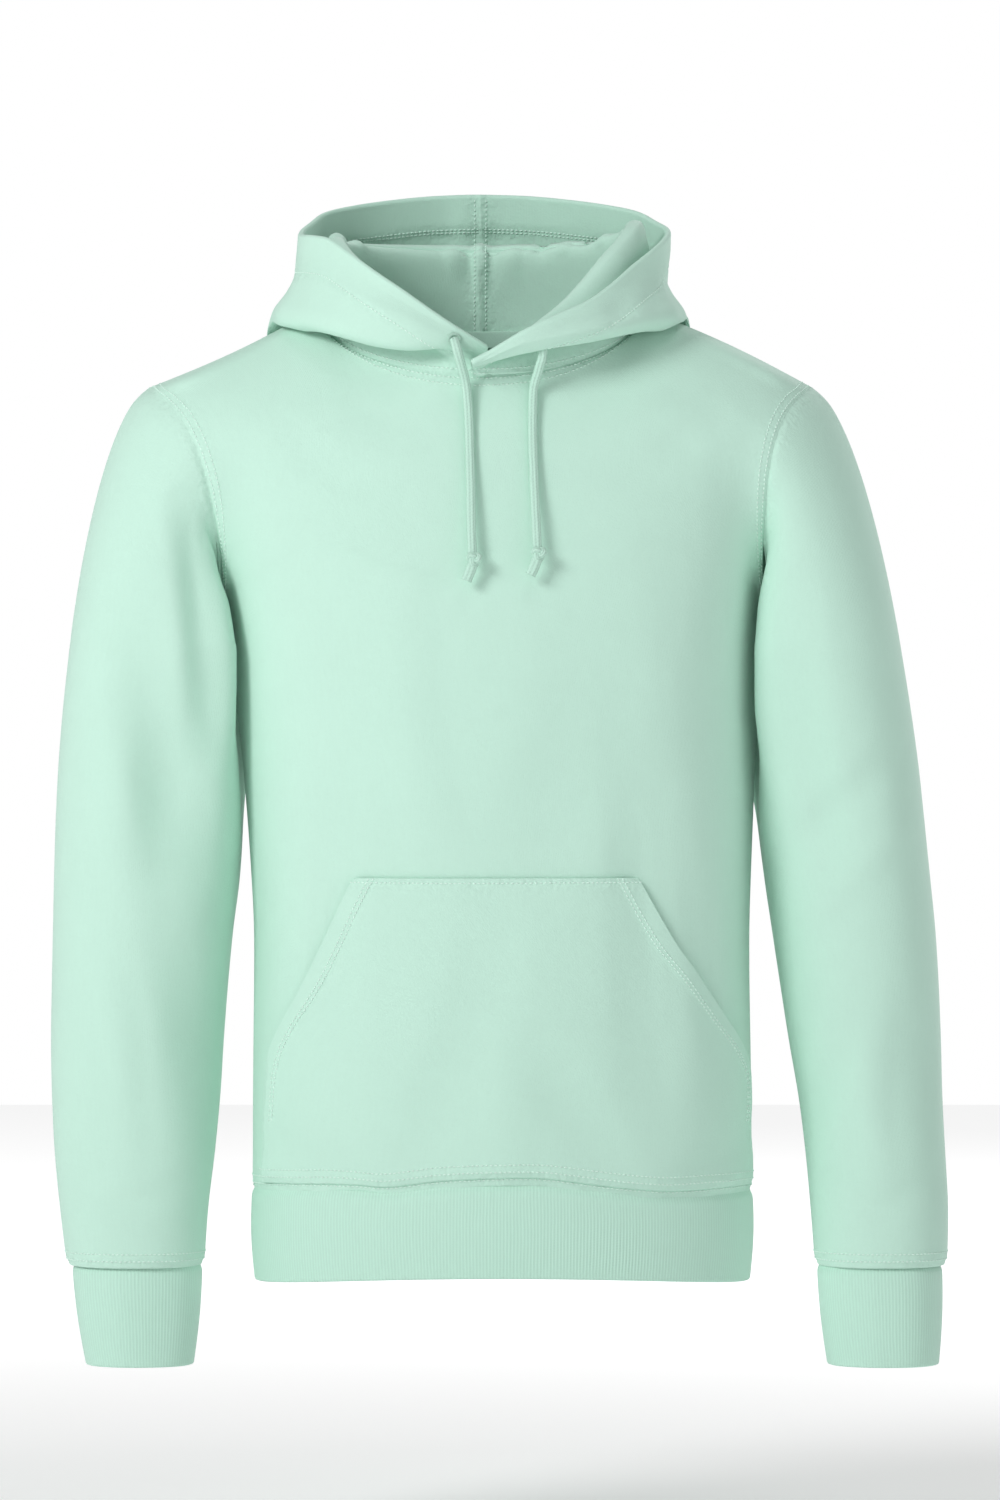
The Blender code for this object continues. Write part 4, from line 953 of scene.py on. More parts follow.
# Soft creases on the front and the back of each sleeve, as on the body
SLEEVE_CREASES = {
    "right": {
        "front": (
            (0.0082, 0.034, ((-0.252, -0.205), (-0.240, -0.280), (-0.214, -0.370))),
            (-0.0030, 0.026, ((-0.278, -0.300), (-0.266, -0.360), (-0.252, -0.410))),
            (0.0090, 0.020, ((-0.216, -0.130), (-0.209, -0.175), (-0.204, -0.230), (-0.202, -0.300))),
            (0.0050, 0.030, ((-0.226, -0.430), (-0.212, -0.490), (-0.208, -0.560))),
            (-0.0024, 0.018, ((-0.270, -0.460), (-0.262, -0.520), (-0.258, -0.580))),
            (0.0022, 0.014, ((-0.300, -0.590), (-0.262, -0.612), (-0.222, -0.604))),
        ),
        "back": (
            (0.0040, 0.026, ((-0.190, -0.250), (-0.230, -0.300), (-0.280, -0.330))),
            (0.0034, 0.022, ((-0.200, -0.380), (-0.240, -0.400), (-0.290, -0.390))),
            (-0.0026, 0.020, ((-0.205, -0.320), (-0.240, -0.355), (-0.290, -0.362))),
            (0.0030, 0.020, ((-0.210, -0.540), (-0.250, -0.570), (-0.295, -0.560))),
        ),
    },
    "left": {
        "front": (
            (0.0044, 0.030, ((0.196, -0.200), (0.204, -0.280), (0.216, -0.380))),
            (0.0028, 0.020, ((0.205, -0.368), (0.236, -0.340), (0.272, -0.308))),
            (-0.0024, 0.018, ((0.215, -0.412), (0.246, -0.384), (0.284, -0.350))),
            (0.0030, 0.020, ((0.238, -0.500), (0.224, -0.535), (0.214, -0.560))),
            (-0.0022, 0.018, ((0.262, -0.480), (0.256, -0.540), (0.262, -0.600))),
            (0.0022, 0.014, ((0.226, -0.600), (0.262, -0.616), (0.300, -0.596))),
        ),
        "back": (
            (0.0040, 0.026, ((0.185, -0.255), (0.226, -0.305), (0.276, -0.330))),
            (0.0034, 0.022, ((0.206, -0.390), (0.246, -0.406), (0.294, -0.396))),
            (-0.0026, 0.020, ((0.200, -0.325), (0.240, -0.360), (0.286, -0.364))),
            (0.0030, 0.020, ((0.222, -0.545), (0.262, -0.572), (0.300, -0.560))),
        ),
    },
}


def surface_tree(grids):
    """A search tree over the faces of one or more grids."""
    points, faces = [], []
    for grid in grids:
        rows, columns = grid.shape[:2]
        start = len(points)
        points += [tuple(p) for p in grid.reshape(-1, 3)]
        for i in range(rows - 1):
            low = start + i * columns
            for j in range(low, low + columns - 1):
                faces.append((j, j + 1, j + columns + 1, j + columns))
    return BVHTree.FromPolygons(points, faces)


def sleeve_ring(side, z):
    """A level ring of a sleeve."""
    outer, inner, depth, centre_y = (float(smooth_through(SLEEVE_Z[::-1], row[::-1], z))
                                     for row in (*SLEEVES[side], SLEEVE_DEPTH, SLEEVE_CENTRE_Y))
    return oval(SIDES[side] * outer, SIDES[side] * inner, depth, centre_y, z)


def sleeve_grid(side, torso):
    """Sleeve from the armhole over the shoulder and down, resting against the body."""
    sign = SIDES[side]
    armhole = armhole_ring(side)
    first = sleeve_ring(side, SLEEVE_Z[0])
    below = sleeve_ring(side, SLEEVE_Z[0] - CAP_LOOK)
    turn = all_round(len(first))
    top = (1 - np.cos(turn)) / 2
    out, down, pull = (low + (high - low) * top for low, high in (CAP_OUT, CAP_DOWN, CAP_ARRIVE))
    leave = np.column_stack((sign * out, np.zeros(len(first)), -down))
    arrive = unit(below - first) * pull[:, None]
    rows = []
    for share in np.linspace(0, 1, CAP_ROWS + 1)[:-1]:
        rest = 1 - share
        rows.append((1 + 2 * share) * rest**2 * armhole + share**2 * (3 - 2 * share) * first
                    + share * rest**2 * leave - share**2 * rest * arrive)
    for z in np.linspace(SLEEVE_Z[0], CUFF_SEAM_Z, SLEEVE_ROWS - CAP_ROWS + 1):
        rows.append(sleeve_ring(side, z))
    grid = np.array(rows)
    degrees = np.degrees(turn)[None, :]
    middle = grid.mean(axis=1, keepdims=True)
    inward = unit((middle - grid) * np.array((1, 1, 0)))
    for fold in SLEEVE_FOLDS[side]:
        tall = bump((grid[:, :, 2] - fold["z"]) / fold["tall"])
        grid += inward * (fold["deep"] * tall * bump((degrees - fold["angle"]) / fold["wide"]))[..., None]
    for point in grid[1:].reshape(-1, 3):
        x, y, z = point
        looks = [torso.ray_cast(Vector((sign * BESIDE_START, y + step, z)), Vector((-sign, 0, 0)))[0]
                 for step in BESIDE_LOOK]
        beside = max((near.x * sign for near in looks if near is not None), default=0)
        if beside >= BESIDE_LEAST:
            short = beside + REST_GAP - x * sign
            point[0] += sign * BESIDE_SOFT * np.logaddexp(0, short / BESIDE_SOFT)
    return grid


def armhole_loop(side, values):
    """The body's points or normals round one armhole: up the front and down the back."""
    front, back = (body[face][values][first_armhole_row:, 0 if side == "right" else -1]
                   for face in ("front", "back"))
    return np.vstack((front, back[-2:0:-1]))


torso_tree = surface_tree((body["front"]["coarse"], body["back"]["coarse"][:, ::-1]))
sleeve_rows_at = spread(SLEEVE_ROWS, FINE)
around_at = np.concatenate((armhole_at, 2 * ARMHOLE_ROWS - armhole_at[::-1][1:-1]))
sleeves = {}
for side in SIDES:
    grid = refine(sleeve_grid(side, torso_tree), sleeve_rows_at, around_at, closed=True)
    fade = np.clip(1 - distance_from(grid, "bottom") / SEAM_FADE, 0, 1) ** 2
    grid += (armhole_loop(side, "flat") - grid[0])[None] * fade[..., None]
    flip = side == "left"
    normals = grid_normals(grid, True, flip)
    for face, toward in (("front", -1), ("back", 1)):
        shown = np.clip(normals[..., 1] * toward * CREASE_TURN, 0, 1)
        press(grid, normals, SLEEVE_CREASES[side][face], shown)
    normals = grid_normals(grid, True, flip)
    beside = armhole_loop(side, "normals")
    agree = np.clip(((normals[0] * beside).sum(-1) + AGREE_START) / AGREE_REACH, 0, 1)[:, None]
    normals[0] = unit(normals[0] * (1 - agree) + beside * agree)
    normals[-1, :, 2] = 0
    normals[-1] = unit(normals[-1])
    pucker = dip_seams(grid, normals, {"bottom": armhole_dip(around_at)[None], "top": SEAM_DIP})
    sleeve = cloth_wall(f"sleeve_cloth_{side}", grid, normals, FLEECE, fleece, pucker, closed=True,
                        flip=flip)
    finish_piece(sleeve, "fleece", f"sleeve_{side}")
    sleeves[side] = {"grid": grid, "normals": normals}

# ---------------------------------------------------------------- kangaroo pocket
# One piece laid on the lower front, turned in and topstitched at its top and hand openings,
# caught in the side seams and the hem. The hand openings stand a little off the front.
POCKET_LIFT = 0.0022
POCKET_LIFT_POWER = 0.7
LAID_GAP = 0.0008
# Heights of the pocket, and its two sides as shares of the half width of the front
POCKET = {
    "z": (-0.604, -0.560, -0.530, -0.512, -0.470, -0.430, -0.389),
    "right": (0.800, 0.795, 0.790, 0.770, 0.640, 0.530, 0.420),
    "left": (0.890, 0.895, 0.900, 0.855, 0.670, 0.540, 0.420),
}
# Points along a side, and how far the closer ones beside its ends reach
POCKET_UP = (66, 0.04)
POCKET_ACROSS = (96, 0.03)
POCKET_HEM = 0.016
POCKET_HEM_EDGE = 0.0015
POCKET_HEM_STEP = 0.0007
POCKET_SWELL = 0.0030
POCKET_DIP = SEAM_DIP * 0.8
POCKET_TOP_DIP = SEAM_DIP * 0.2
# Where the sides are sewn down, from the bottom to the top, and where the hand goes in
POCKET_SEWN = ((0, 0.34, 0.42, 0.97, 1), (1, 1, 0, 0, 1))


def panel_place(grid, across, z):
    """Row and column, with fractions, of a share of the width and a height on a coarse panel."""
    columns = grid.shape[1]
    place = (across + 1) / 2 * (columns - 1)
    column = min(int(place), columns - 2)
    share = place - column
    heights = grid[:, column, 2] * (1 - share) + grid[:, column + 1, 2] * share
    return float(np.interp(z, heights, np.arange(len(heights)))), place


def read_fine(values, row, column):
    """A value of the fine front at a row and a column of the coarse one."""
    i = np.interp(row, panel_rows_at, np.arange(len(panel_rows_at)))
    j = np.interp(column, front["columns_at"], np.arange(len(front["columns_at"])))
    i0, j0 = min(int(i), values.shape[0] - 2), min(int(j), values.shape[1] - 2)
    low, high = values[i0:i0 + 2, j0] * (1 - j + j0) + values[i0:i0 + 2, j0 + 1] * (j - j0)
    return low * (1 - i + i0) + high * (i - i0)


def pocket_shares(count, near):
    """Shares from 0 to 1, closer together beside both ends."""
    close = np.array(NEAR_SEAM) * near
    return np.unique(np.concatenate((np.linspace(0, 1, count), close, 1 - close)))


front = body["front"]
ups = pocket_shares(*POCKET_UP)
acrosses = pocket_shares(*POCKET_ACROSS)
pocket = np.zeros((len(ups), len(acrosses), 3))
facing = np.zeros_like(pocket)
for i, up in enumerate(ups):
    z = POCKET["z"][0] + (POCKET["z"][-1] - POCKET["z"][0]) * up
    right = -float(smooth_through(POCKET["z"], POCKET["right"], z))
    left = float(smooth_through(POCKET["z"], POCKET["left"], z))
    for j, share in enumerate(acrosses):
        across = right + (left - right) * share
        level = z + HEM_FRONT_RISE * cos(across * pi / 2) ** 2 * (1 - up)
        place = panel_place(front["coarse"], across, level)
        pocket[i, j] = read_fine(front["grid"], *place)
        facing[i, j] = read_fine(front["normals"], *place)
facing = unit(facing)
free = np.sin(pi * ups)[:, None] ** POCKET_LIFT_POWER
edge_gap = np.minimum(distance_from(pocket, "left"), distance_from(pocket, "right"))
hemmed = np.clip((POCKET_HEM - edge_gap) / POCKET_HEM_EDGE, 0, 1)
full = np.sin(pi * ups[:, None]) * np.sin(pi * acrosses[None])
lift = LAID_GAP + POCKET_LIFT * free + FLEECE + POCKET_HEM_STEP * hemmed + POCKET_SWELL * full
pocket += facing * lift[..., None]
normals = grid_normals(pocket, False, False)
sewn = np.interp(ups, *POCKET_SEWN)[:, None]
pocket -= normals * (np.exp(-((edge_gap / SEAM_DIP_REACH) ** 2)) * sewn * POCKET_DIP)[..., None]
pucker = np.maximum(np.exp(-((edge_gap / PUCKER_REACH) ** 2)) * sewn,
                    dip_seams(pocket, normals, {"bottom": POCKET_DIP, "top": POCKET_TOP_DIP}))
pouch = cloth_wall("pocket_cloth", pocket, normals, FLEECE, fleece, pucker)
finish_piece(pouch, "fleece", "kangaroo_pocket")

# ---------------------------------------------------------------- hood
# Two halves of the same fleece with a seam over the crown. It is down: each half stands up
# from the neck seam, turns over, hangs behind and comes up again to its rim, where a casing
# for the cord is turned in. The left front lies over the right.
CASING_WIDTH = 0.026
CASING_EXTRA = 0.0022
CASING_EDGE = 0.003
CASING_STITCH = CASING_WIDTH - 0.0015
CASING_GROOVE = 0.0008
GROOVE_REACH = 0.0022
GROOVE_OUTSIDE = 0.7
CASING_PUCKER = 0.7
CASING_PUCKER_REACH = 0.006
HOOD_REST_GAP = 0.0040
HOOD_REACH = 0.030
HOOD_EDGE_TILT = 0.8
HOOD_PASSES = 3
HOOD_ROWS = 24
RIDGE_HALF = 0.0045
HOOD_OVERLAP_DEGREES = {"right": 2.7, "left": 2.0}
HOOD_FINE = (5, 7)
HOOD_LEAST = 0.0005
RIDGE_CURL = 0.35
BAG_TURN = 0.4
# Outward and upward shares of the points that lie between two others
HOOD_WALL = (0.4, 0.45)
HOOD_BEHIND = (0.55, 0.5)
HOOD_UNDER_RIM = (0.25, 0.4)
# The profile at angles round the neck from the middle of the back: how far out and how high its
# parts lie, and from 0 to 1 how flat it is drawn
HOOD_ANGLES = (0, 45, 67, 90, 120, 150, 165, 176, 187)
HOOD = {
    "right": {
        "seam_out": (0.0, 0.0, 0.0, 0.0, 0.0, 0.0, 0.0, 0.0, 0.0),
        "ridge_out": (-0.006, -0.010, -0.012, -0.014, -0.012, -0.006, -0.002, 0.0, 0.001),
        "ridge_z": (0.0505, 0.0520, 0.0540, 0.0560, 0.0400, 0.0040, -0.0130, -0.0240, -0.0330),
        "bag_out": (0.058, 0.056, 0.031, 0.022, 0.018, 0.016, 0.0125, 0.0065, 0.002),
        "bag_z": (-0.152, -0.098, -0.045, -0.008, -0.011, -0.0265, -0.0345, -0.0380, -0.0390),
        "bag_half": (0.015, 0.014, 0.012, 0.010, 0.008, 0.007, 0.005, 0.003, 0.002),
        "belly_out": (0.092, 0.076, 0.031, 0.0170, 0.0180, 0.0235, 0.0180, 0.0080, 0.0020),
        "belly_z": (-0.055, -0.030, 0.0020, 0.0250, 0.0200, 0.0010, -0.0160, -0.0260, -0.0340),
        "rim_out": (0.042, 0.031, 0.0185, 0.0125, 0.0120, 0.0200, 0.0155, 0.0070, 0.0010),
        "rim_z": (0.0950, 0.0820, 0.0680, 0.0585, 0.0530, 0.0235, -0.0005, -0.0165, -0.0300),
        "flat": (0, 0, 0, 0, 0, 0.05, 0.40, 1, 1),
    },
    "left": {
        "seam_out": (0.0, 0.0, 0.0, 0.0, 0.0, 0.0, 0.0028, 0.0072, 0.0076),
        "ridge_out": (-0.006, -0.008, -0.007, -0.006, -0.008, -0.005, 0.002, 0.0070, 0.0110),
        "ridge_z": (0.0505, 0.0545, 0.0610, 0.0665, 0.0450, 0.0040, -0.0150, -0.0290, -0.0400),
        "bag_out": (0.058, 0.056, 0.031, 0.020, 0.021, 0.020, 0.0185, 0.0150, 0.0120),
        "bag_z": (-0.152, -0.098, -0.045, -0.008, -0.011, -0.0225, -0.0285, -0.0355, -0.0420),
        "bag_half": (0.015, 0.014, 0.012, 0.010, 0.009, 0.008, 0.006, 0.0035, 0.002),
        "belly_out": (0.092, 0.075, 0.030, 0.0160, 0.0220, 0.0270, 0.0255, 0.0205, 0.0150),
        "belly_z": (-0.055, -0.030, 0.0020, 0.0250, 0.0130, -0.0070, -0.0190, -0.0320, -0.0430),
        "rim_out": (0.042, 0.032, 0.0240, 0.0185, 0.0140, 0.0220, 0.0235, 0.0205, 0.0165),
        "rim_z": (0.0950, 0.0825, 0.0690, 0.0590, 0.0370, 0.0030, -0.0113, -0.0285, -0.0440),
        "flat": (0, 0, 0, 0, 0, 0, 0, 0.35, 1),
    },
}
# Small gathers: row of the profile, angle round the neck, depth, half height in rows and half
# width in degrees
GATHERS = {
    "right": (
        (5.0, 4.0, -0.0034, 3.2, 3.5), (5.4, 11.0, 0.0020, 3.0, 4.0),
        (6.5, 58.0, 0.0030, 2.4, 5.0), (6.2, 71.0, -0.0016, 2.2, 5.0), (6.6, 86.0, 0.0030, 2.6, 6.0),
        (20.5, 24.0, 0.0022, 3.2, 7.0), (21.0, 39.0, -0.0018, 3.0, 7.0), (17.5, 62.0, 0.0026, 3.0, 9.0),
        (19.0, 128.0, 0.0016, 3.0, 9.0), (18.0, 104.0, -0.0016, 3.0, 10.0),
        (11.0, 8.0, 0.0030, 3.0, 8.0), (13.0, 36.0, 0.0030, 3.0, 9.0), (15.0, 20.0, -0.0024, 3.0, 8.0),
        (21.6, 4.4, 0.0036, 3.2, 4.2), (20.4, 12.5, -0.0030, 2.8, 4.6), (19.0, 8.0, 0.0030, 2.2, 5.0),
    ),
    "left": (
        (5.2, 4.5, -0.0032, 3.0, 3.8), (5.5, 13.0, 0.0022, 2.8, 4.4), (5.9, 24.0, -0.0026, 2.4, 4.5),
        (6.2, 35.0, 0.0032, 2.2, 4.5), (6.4, 46.0, -0.0028, 2.2, 4.5), (6.3, 57.0, 0.0032, 2.4, 5.0),
        (6.6, 70.0, -0.0018, 2.4, 5.0), (6.6, 84.0, 0.0022, 2.6, 6.0),
        (20.5, 20.0, 0.0020, 3.2, 7.0), (20.8, 33.0, -0.0020, 3.0, 6.0), (18.0, 66.0, 0.0026, 3.0, 9.0),
        (19.5, 136.0, 0.0018, 3.0, 9.0), (18.0, 112.0, -0.0018, 3.0, 10.0),
        (11.0, 9.0, 0.0030, 3.0, 8.0), (13.2, 40.0, 0.0030, 3.0, 9.0), (15.0, 22.0, -0.0024, 3.0, 8.0),
        (21.4, 4.0, -0.0028, 3.0, 3.8), (20.6, 10.5, 0.0026, 2.6, 4.0),
    ),
}


def rest_on(points, tree, gap, reach):
    """Move points out of the surface in the tree until they lie a gap away from it."""
    moved = points.copy()
    for index in np.ndindex(points.shape[:-1]):
        place = Vector(points[index])
        near, normal, _, distance = tree.find_nearest(place, reach)
        if near is None:
            continue
        height = (place - near).dot(normal)
        past_edge = abs(height) < HOOD_EDGE_TILT * distance
        if height < gap and not past_edge:
            moved[index] += np.array(normal) * (gap - height)
    return moved


def between(start, end, shares):
    """A point some shares of the way outward and up from one point to another."""
    return tuple(a + (b - a) * share for a, b, share in zip(start, end, shares))


def hood_profile(side, degrees):
    """Points outward and up from the neck seam to the rim, at one angle round the neck."""
    table = HOOD[side]
    places = (-HOOD_ANGLES[1], *HOOD_ANGLES)
    at = {key: float(smooth_through(places, (row[1], *row), degrees)) for key, row in table.items()}
    angle = radians(degrees) * SIDES[side]
    neck = neck_ring(angle)
    ridge, top = at["ridge_out"], at["ridge_z"]
    bag, low, half = at["bag_out"], at["bag_z"], at["bag_half"]
    seam = (at["seam_out"], neck[2])
    belly = (at["belly_out"], at["belly_z"])
    rim = (at["rim_out"], at["rim_z"])
    tall = max(top - neck[2], HOOD_LEAST)
    curl = min(RIDGE_HALF, RIDGE_CURL * tall + HOOD_LEAST)
    turn = min(half, BAG_TURN * max(rim[1] - low, HOOD_LEAST))
    route = np.array((
        seam,
        between(seam, (ridge - curl, neck[2] + tall), HOOD_WALL),
        (ridge - curl, top - curl),
        (ridge, top),
        (ridge + curl, top - curl),
        between((ridge + curl, top), (bag - half, low), HOOD_BEHIND),
        (bag - half, low + turn),
        (bag, low),
        (bag + half, low + turn),
        belly,
        between(rim, belly, HOOD_UNDER_RIM),
        rim,
    ))
    outward = np.array((sin(angle), cos(angle)))
    straight = np.linspace(route[0], route[-1], len(route))
    line = along(route + (straight - route) * at["flat"], HOOD_ROWS)
    return np.column_stack((neck[:2] + line[:, :1] * outward, line[:, 1]))


hoods = {}
for side in SIDES:
    angles = np.concatenate((np.linspace(0, 90, NECK_COLUMNS["back"] // 2 + 1),
                             np.linspace(90, 180, NECK_COLUMNS["front"] // 2 + 1)[1:],
                             (180 + HOOD_OVERLAP_DEGREES[side],)))
    coarse = np.stack([hood_profile(side, degrees) for degrees in angles], axis=1)
    for _ in range(HOOD_PASSES):
        coarse[3:] = rest_on(coarse[3:], torso_tree, HOOD_REST_GAP, HOOD_REACH)
    rows_at = spread(HOOD_ROWS, HOOD_FINE[0])
    columns_at = spread(len(angles) - 1, HOOD_FINE[1])
    grid = refine(coarse, rows_at, columns_at)
    flip = side == "left"
    normals = grid_normals(grid, False, flip)
    degrees = np.interp(columns_at, np.arange(len(angles)), angles)
    for row, angle, deep, tall, wide in GATHERS[side]:
        shape = bump((rows_at - row) / tall)[:, None] * bump((degrees - angle) / wide)[None]
        grid -= normals * (deep * shape)[..., None]
    normals = grid_normals(grid, False, flip)
    normals[:, 0, 0] = 0
    normals[:, 0] = unit(normals[:, 0])
    normals[0, :, 2] = 0
    normals[0] = unit(normals[0])
    from_rim = distance_from(grid, "top")
    doubled = np.clip((CASING_WIDTH - from_rim) / CASING_EDGE, 0, 1)
    groove = np.exp(-(((from_rim - CASING_STITCH) / GROOVE_REACH) ** 2))
    thick = FLEECE + CASING_EXTRA * doubled - CASING_GROOVE * groove
    grid -= normals * (groove * CASING_GROOVE * GROOVE_OUTSIDE)[..., None]
    drawn = CASING_PUCKER * np.exp(-(((from_rim - CASING_WIDTH) / CASING_PUCKER_REACH) ** 2))
    pucker = np.maximum(dip_seams(grid, normals, {"left": SEAM_DIP, "bottom": NECK_DIP}), drawn)
    half = cloth_wall(f"hood_cloth_{side}", grid, normals, thick, fleece, pucker, flip=flip)
    finish_piece(half, "fleece", f"hood_{side}")
    hoods[side] = {"grid": grid, "normals": normals, "thick": thick}

# ---------------------------------------------------------------- neck tape and eyelet
# A strip of twill covers the neck seam inside, round the back. The eyelet is a ring of
# close stitches on the right front of the hood, where the cord comes out.
TAPE = 0.0010
TAPE_HEIGHT = 0.011
TAPE_SPREAD_DEGREES = 62
TAPE_COLUMNS = 98
TAPE_ROWS = 9
TWILL_PITCH = 0.0010
EYELET_CENTRE = (-0.0314, -0.0193)
EYELET_RADIUS = 0.0040
EYELET_WIDTH = 0.0022
EYELET_THICK = 0.0012
EYELET_LIFT = 0.0008
EYELET_STEPS = 48
EYELET_SIDES = 10


def twill_finish(name, colour):
    """Slanting ribs of a narrow woven tape."""
    finish, tree, surface = cloth_material(name, roughness=0.8, sheen=0.12)
    _, across, up = uv_coordinates(tree)
    slanted = ridges(tree, math_node(tree, "ADD", across, up), TWILL_PITCH)
    raised = add_node(tree, "ShaderNodeBump", {"Strength": 0.6, "Distance": 0.0003, "Height": slanted})
    # Painted shade between the ribs and a painted highlight on their crests: the colour follows the ribs
    dress(surface, raised, colour, slanted, light=1.05, dark=0.92)
    return finish


twill = twill_finish("twill", FLEECE_COLOUR)
turns = np.radians(np.linspace(-TAPE_SPREAD_DEGREES, TAPE_SPREAD_DEGREES, TAPE_COLUMNS))
strip = np.zeros((TAPE_ROWS, TAPE_COLUMNS, 3))
for j, turn in enumerate(turns):
    inward = -np.array((sin(turn), cos(turn), 0))
    strip[:, j] = neck_ring(turn) + inward * (FLEECE + LAID_GAP + TAPE)
strip[..., 2] += np.linspace(-TAPE_HEIGHT / 2, TAPE_HEIGHT / 2, TAPE_ROWS)[:, None]
tape = cloth_wall("tape_strip", strip, grid_normals(strip, False, True), TAPE, twill,
                  np.zeros(strip.shape[:2]), flip=True)
finish_piece(tape, "fleece", "neck_tape")

ring_tree = surface_tree((hoods["right"]["grid"],))
near, normal, _, _ = ring_tree.ray_cast(Vector((EYELET_CENTRE[0], -1, EYELET_CENTRE[1])),
                                        Vector((0, 1, 0)))
facing = np.array(normal) if normal.y < 0 else -np.array(normal)
across = unit(np.cross(facing, (0, 0, 1)))
upward = np.cross(across, facing)
turn = all_round(EYELET_STEPS)[:, None]
circle = np.array(near) + facing * EYELET_LIFT
circle = circle + EYELET_RADIUS * (np.cos(turn) * across + np.sin(turn) * upward)
eyelet = sweep("eyelet_ring", circle, EYELET_WIDTH, EYELET_THICK, cord_braid, closed=True,
               facing=tuple(facing), sides=EYELET_SIDES)
finish_piece(eyelet, "cord_braid", "eyelet_right")

# ---------------------------------------------------------------- stitching
# Twin rows of topstitching beside the seams, and along the pocket and the hood's casing. Each
# stitch is a short thread that dips into the cloth at both ends.
THREAD_COLOUR = (0.70, 0.90, 0.81, 1)
STITCH = {"Spacing": 0.0032, "Length": 0.0025, "Thick": 0.00105}
STITCH_LIFT = 0.0001
SEAM_ROWS = (0.0030, 0.0080)
BAND_SEAM_ROWS = (0.0040, 0.0090)
POCKET_HAND_ROWS = (0.0125, 0.0160)
POCKET_TOP_ROWS = (0.0028,)
POCKET_SEWN_TO = 0.20
CASING_ROWS_INSIDE = (CASING_WIDTH - 0.0030, CASING_WIDTH - 0.0005)
HOOD_SEAM_ROWS = (0.0042,)
HOOD_NECK_ROWS = (0.0030,)


def inset(grid, normals, edge, distance, lift):
    """A line on a grid at a distance from one of its edges, lifted off the cloth."""
    away = distance_from(grid, edge)
    if edge in ("bottom", "top"):
        grid, normals, away = grid.swapaxes(0, 1), normals.swapaxes(0, 1), away.T
    if edge in ("top", "right"):
        grid, normals, away = grid[:, ::-1], normals[:, ::-1], away[:, ::-1]
    raised = grid + normals * lift
    return np.array([[np.interp(distance, gaps, points[:, k]) for k in range(3)]
                     for points, gaps in zip(raised, away)])


def seam_rows(cloth, edge, distances, clear, lift=STITCH_LIFT):
    """Rows of stitches beside an edge. clear counts the points left out at each end."""
    start, end = clear
    return [inset(cloth["grid"], cloth["normals"], edge, distance, lift)[start:-end]
            for distance in distances]


def stitch_group(finish):
    """Geometry nodes that lay stitches at an even spacing along curves."""
    tree = bpy.data.node_groups.new("stitches", "GeometryNodeTree")
    tree.interface.new_socket("Curves", in_out="INPUT", socket_type="NodeSocketGeometry")
    for name, value in STITCH.items():
        socket = tree.interface.new_socket(name, in_out="INPUT", socket_type="NodeSocketFloat")
        socket.default_value = value
    tree.interface.new_socket("Threads", in_out="OUTPUT", socket_type="NodeSocketGeometry")
    given = tree.nodes.new("NodeGroupInput").outputs
    points = add_node(tree, "GeometryNodeCurveToPoints",
                      {"Curve": given["Curves"], "Length": given["Spacing"]}, mode="LENGTH")
    thread = add_node(tree, "GeometryNodeMeshUVSphere", {"Segments": 6, "Rings": 4, "Radius": 0.5})
    size = add_node(tree, "ShaderNodeCombineXYZ",
                    {"X": given["Length"], "Y": given["Thick"], "Z": given["Thick"]})
    shape = add_node(tree, "GeometryNodeTransform", {"Geometry": thread, "Scale": size})
    turn = add_node(tree, "FunctionNodeAlignRotationToVector",
                    {"Vector": points.node.outputs["Tangent"]}, axis="X")
    laid = add_node(tree, "GeometryNodeInstanceOnPoints",
                    {"Points": points, "Instance": shape, "Rotation": turn})
    real = add_node(tree, "GeometryNodeRealizeInstances", {"Geometry": laid})
    threads = add_node(tree, "GeometryNodeSetMaterial", {"Geometry": real, "Material": finish})
    tree.links.new(threads, tree.nodes.new("NodeGroupOutput").inputs["Threads"])
    return tree


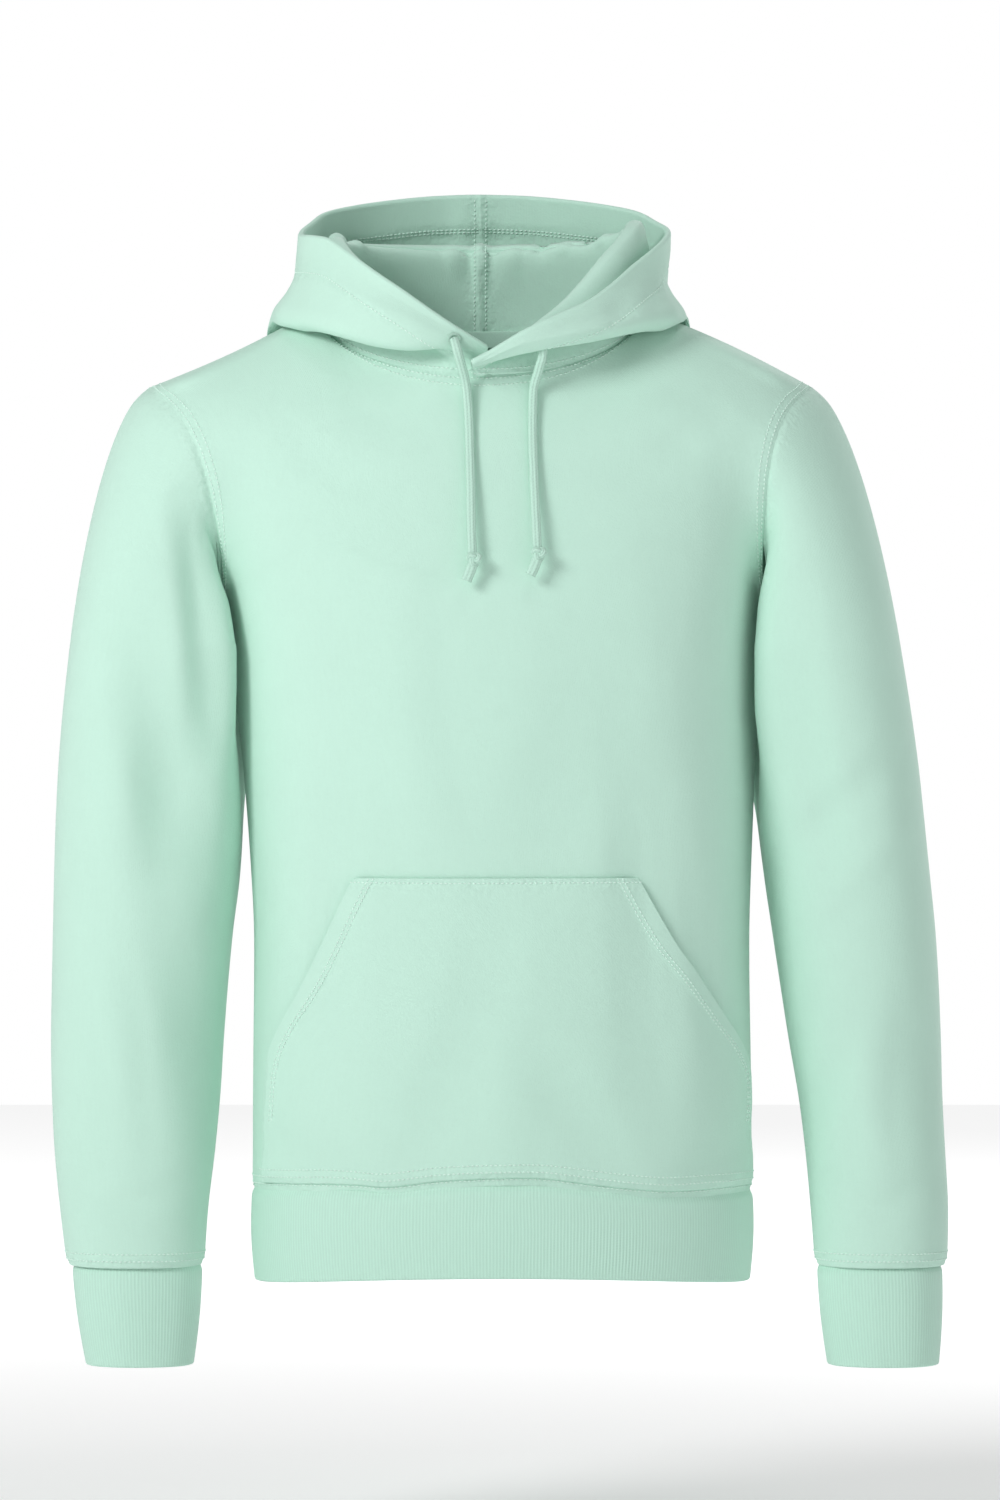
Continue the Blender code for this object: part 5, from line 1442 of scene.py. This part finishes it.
def stitched(name, lines):
    """Turn lines into stitches, as one plain mesh."""
    curve = bpy.data.curves.new(name, "CURVE")
    curve.dimensions = "3D"
    for line in lines:
        spline = curve.splines.new("POLY")
        spline.points.add(len(line) - 1)
        for point, place in zip(spline.points, line):
            point.co = (*place, 1)
    source = set_out(name + "_lines", curve)
    source.modifiers.new("stitches", "NODES").node_group = stitches
    bpy.context.view_layer.update()
    evaluated = source.evaluated_get(bpy.context.evaluated_depsgraph_get())
    mesh = bpy.data.meshes.new_from_object(evaluated)
    bpy.data.objects.remove(source, do_unlink=True)
    mesh.shade_smooth()
    finish_piece(set_out(name, mesh), "fleece")


thread_finish, _, thread_surface = cloth_material("thread", roughness=0.7, sheen=0.1)
thread_surface.inputs["Base Color"].default_value = THREAD_COLOUR
stitches = stitch_group(thread_finish)
lines = []
for cloth in body.values():
    lines += seam_rows(cloth, "top", SEAM_ROWS, clear=(shoulder + 4, shoulder + 4))
    lines += seam_rows(cloth, "bottom", BAND_SEAM_ROWS, clear=(2, 2))
    for edge in ("left", "right"):
        lines += seam_rows(cloth, edge, SEAM_ROWS, clear=(first_armhole_row + 3, 2))
stitched("seam_stitches_body", lines)
rings = [inset(cloth["grid"], cloth["normals"], "top", distance, STITCH_LIFT)
         for cloth in sleeves.values() for distance in BAND_SEAM_ROWS]
stitched("seam_stitches_sleeves", [np.vstack((ring, ring[:1])) for ring in rings])

cloth = {"grid": pocket, "normals": grid_normals(pocket, False, False)}
lines = seam_rows(cloth, "top", POCKET_TOP_ROWS, clear=(2, 2))
lines += seam_rows(cloth, "bottom", BAND_SEAM_ROWS, clear=(2, 2))
for edge in ("left", "right"):
    lines += seam_rows(cloth, edge, POCKET_HAND_ROWS, clear=(int(sum(ups <= POCKET_SEWN_TO)), 2))
stitched("seam_stitches_pocket", lines)
lines = []
for cloth in hoods.values():
    inner = {"grid": cloth["grid"] - cloth["normals"] * (cloth["thick"][..., None] + STITCH_LIFT),
             "normals": cloth["normals"]}
    lines += seam_rows(cloth, "top", (CASING_STITCH,), clear=(3, 6))
    lines += seam_rows(inner, "top", CASING_ROWS_INSIDE, clear=(3, 6), lift=0)
    lines += seam_rows(cloth, "left", HOOD_SEAM_ROWS, clear=(4, 3))
    lines += seam_rows(inner, "left", HOOD_SEAM_ROWS, clear=(4, 3), lift=0)
    lines += seam_rows(cloth, "bottom", HOOD_NECK_ROWS, clear=(6, 10))
stitched("seam_stitches_hood", lines)
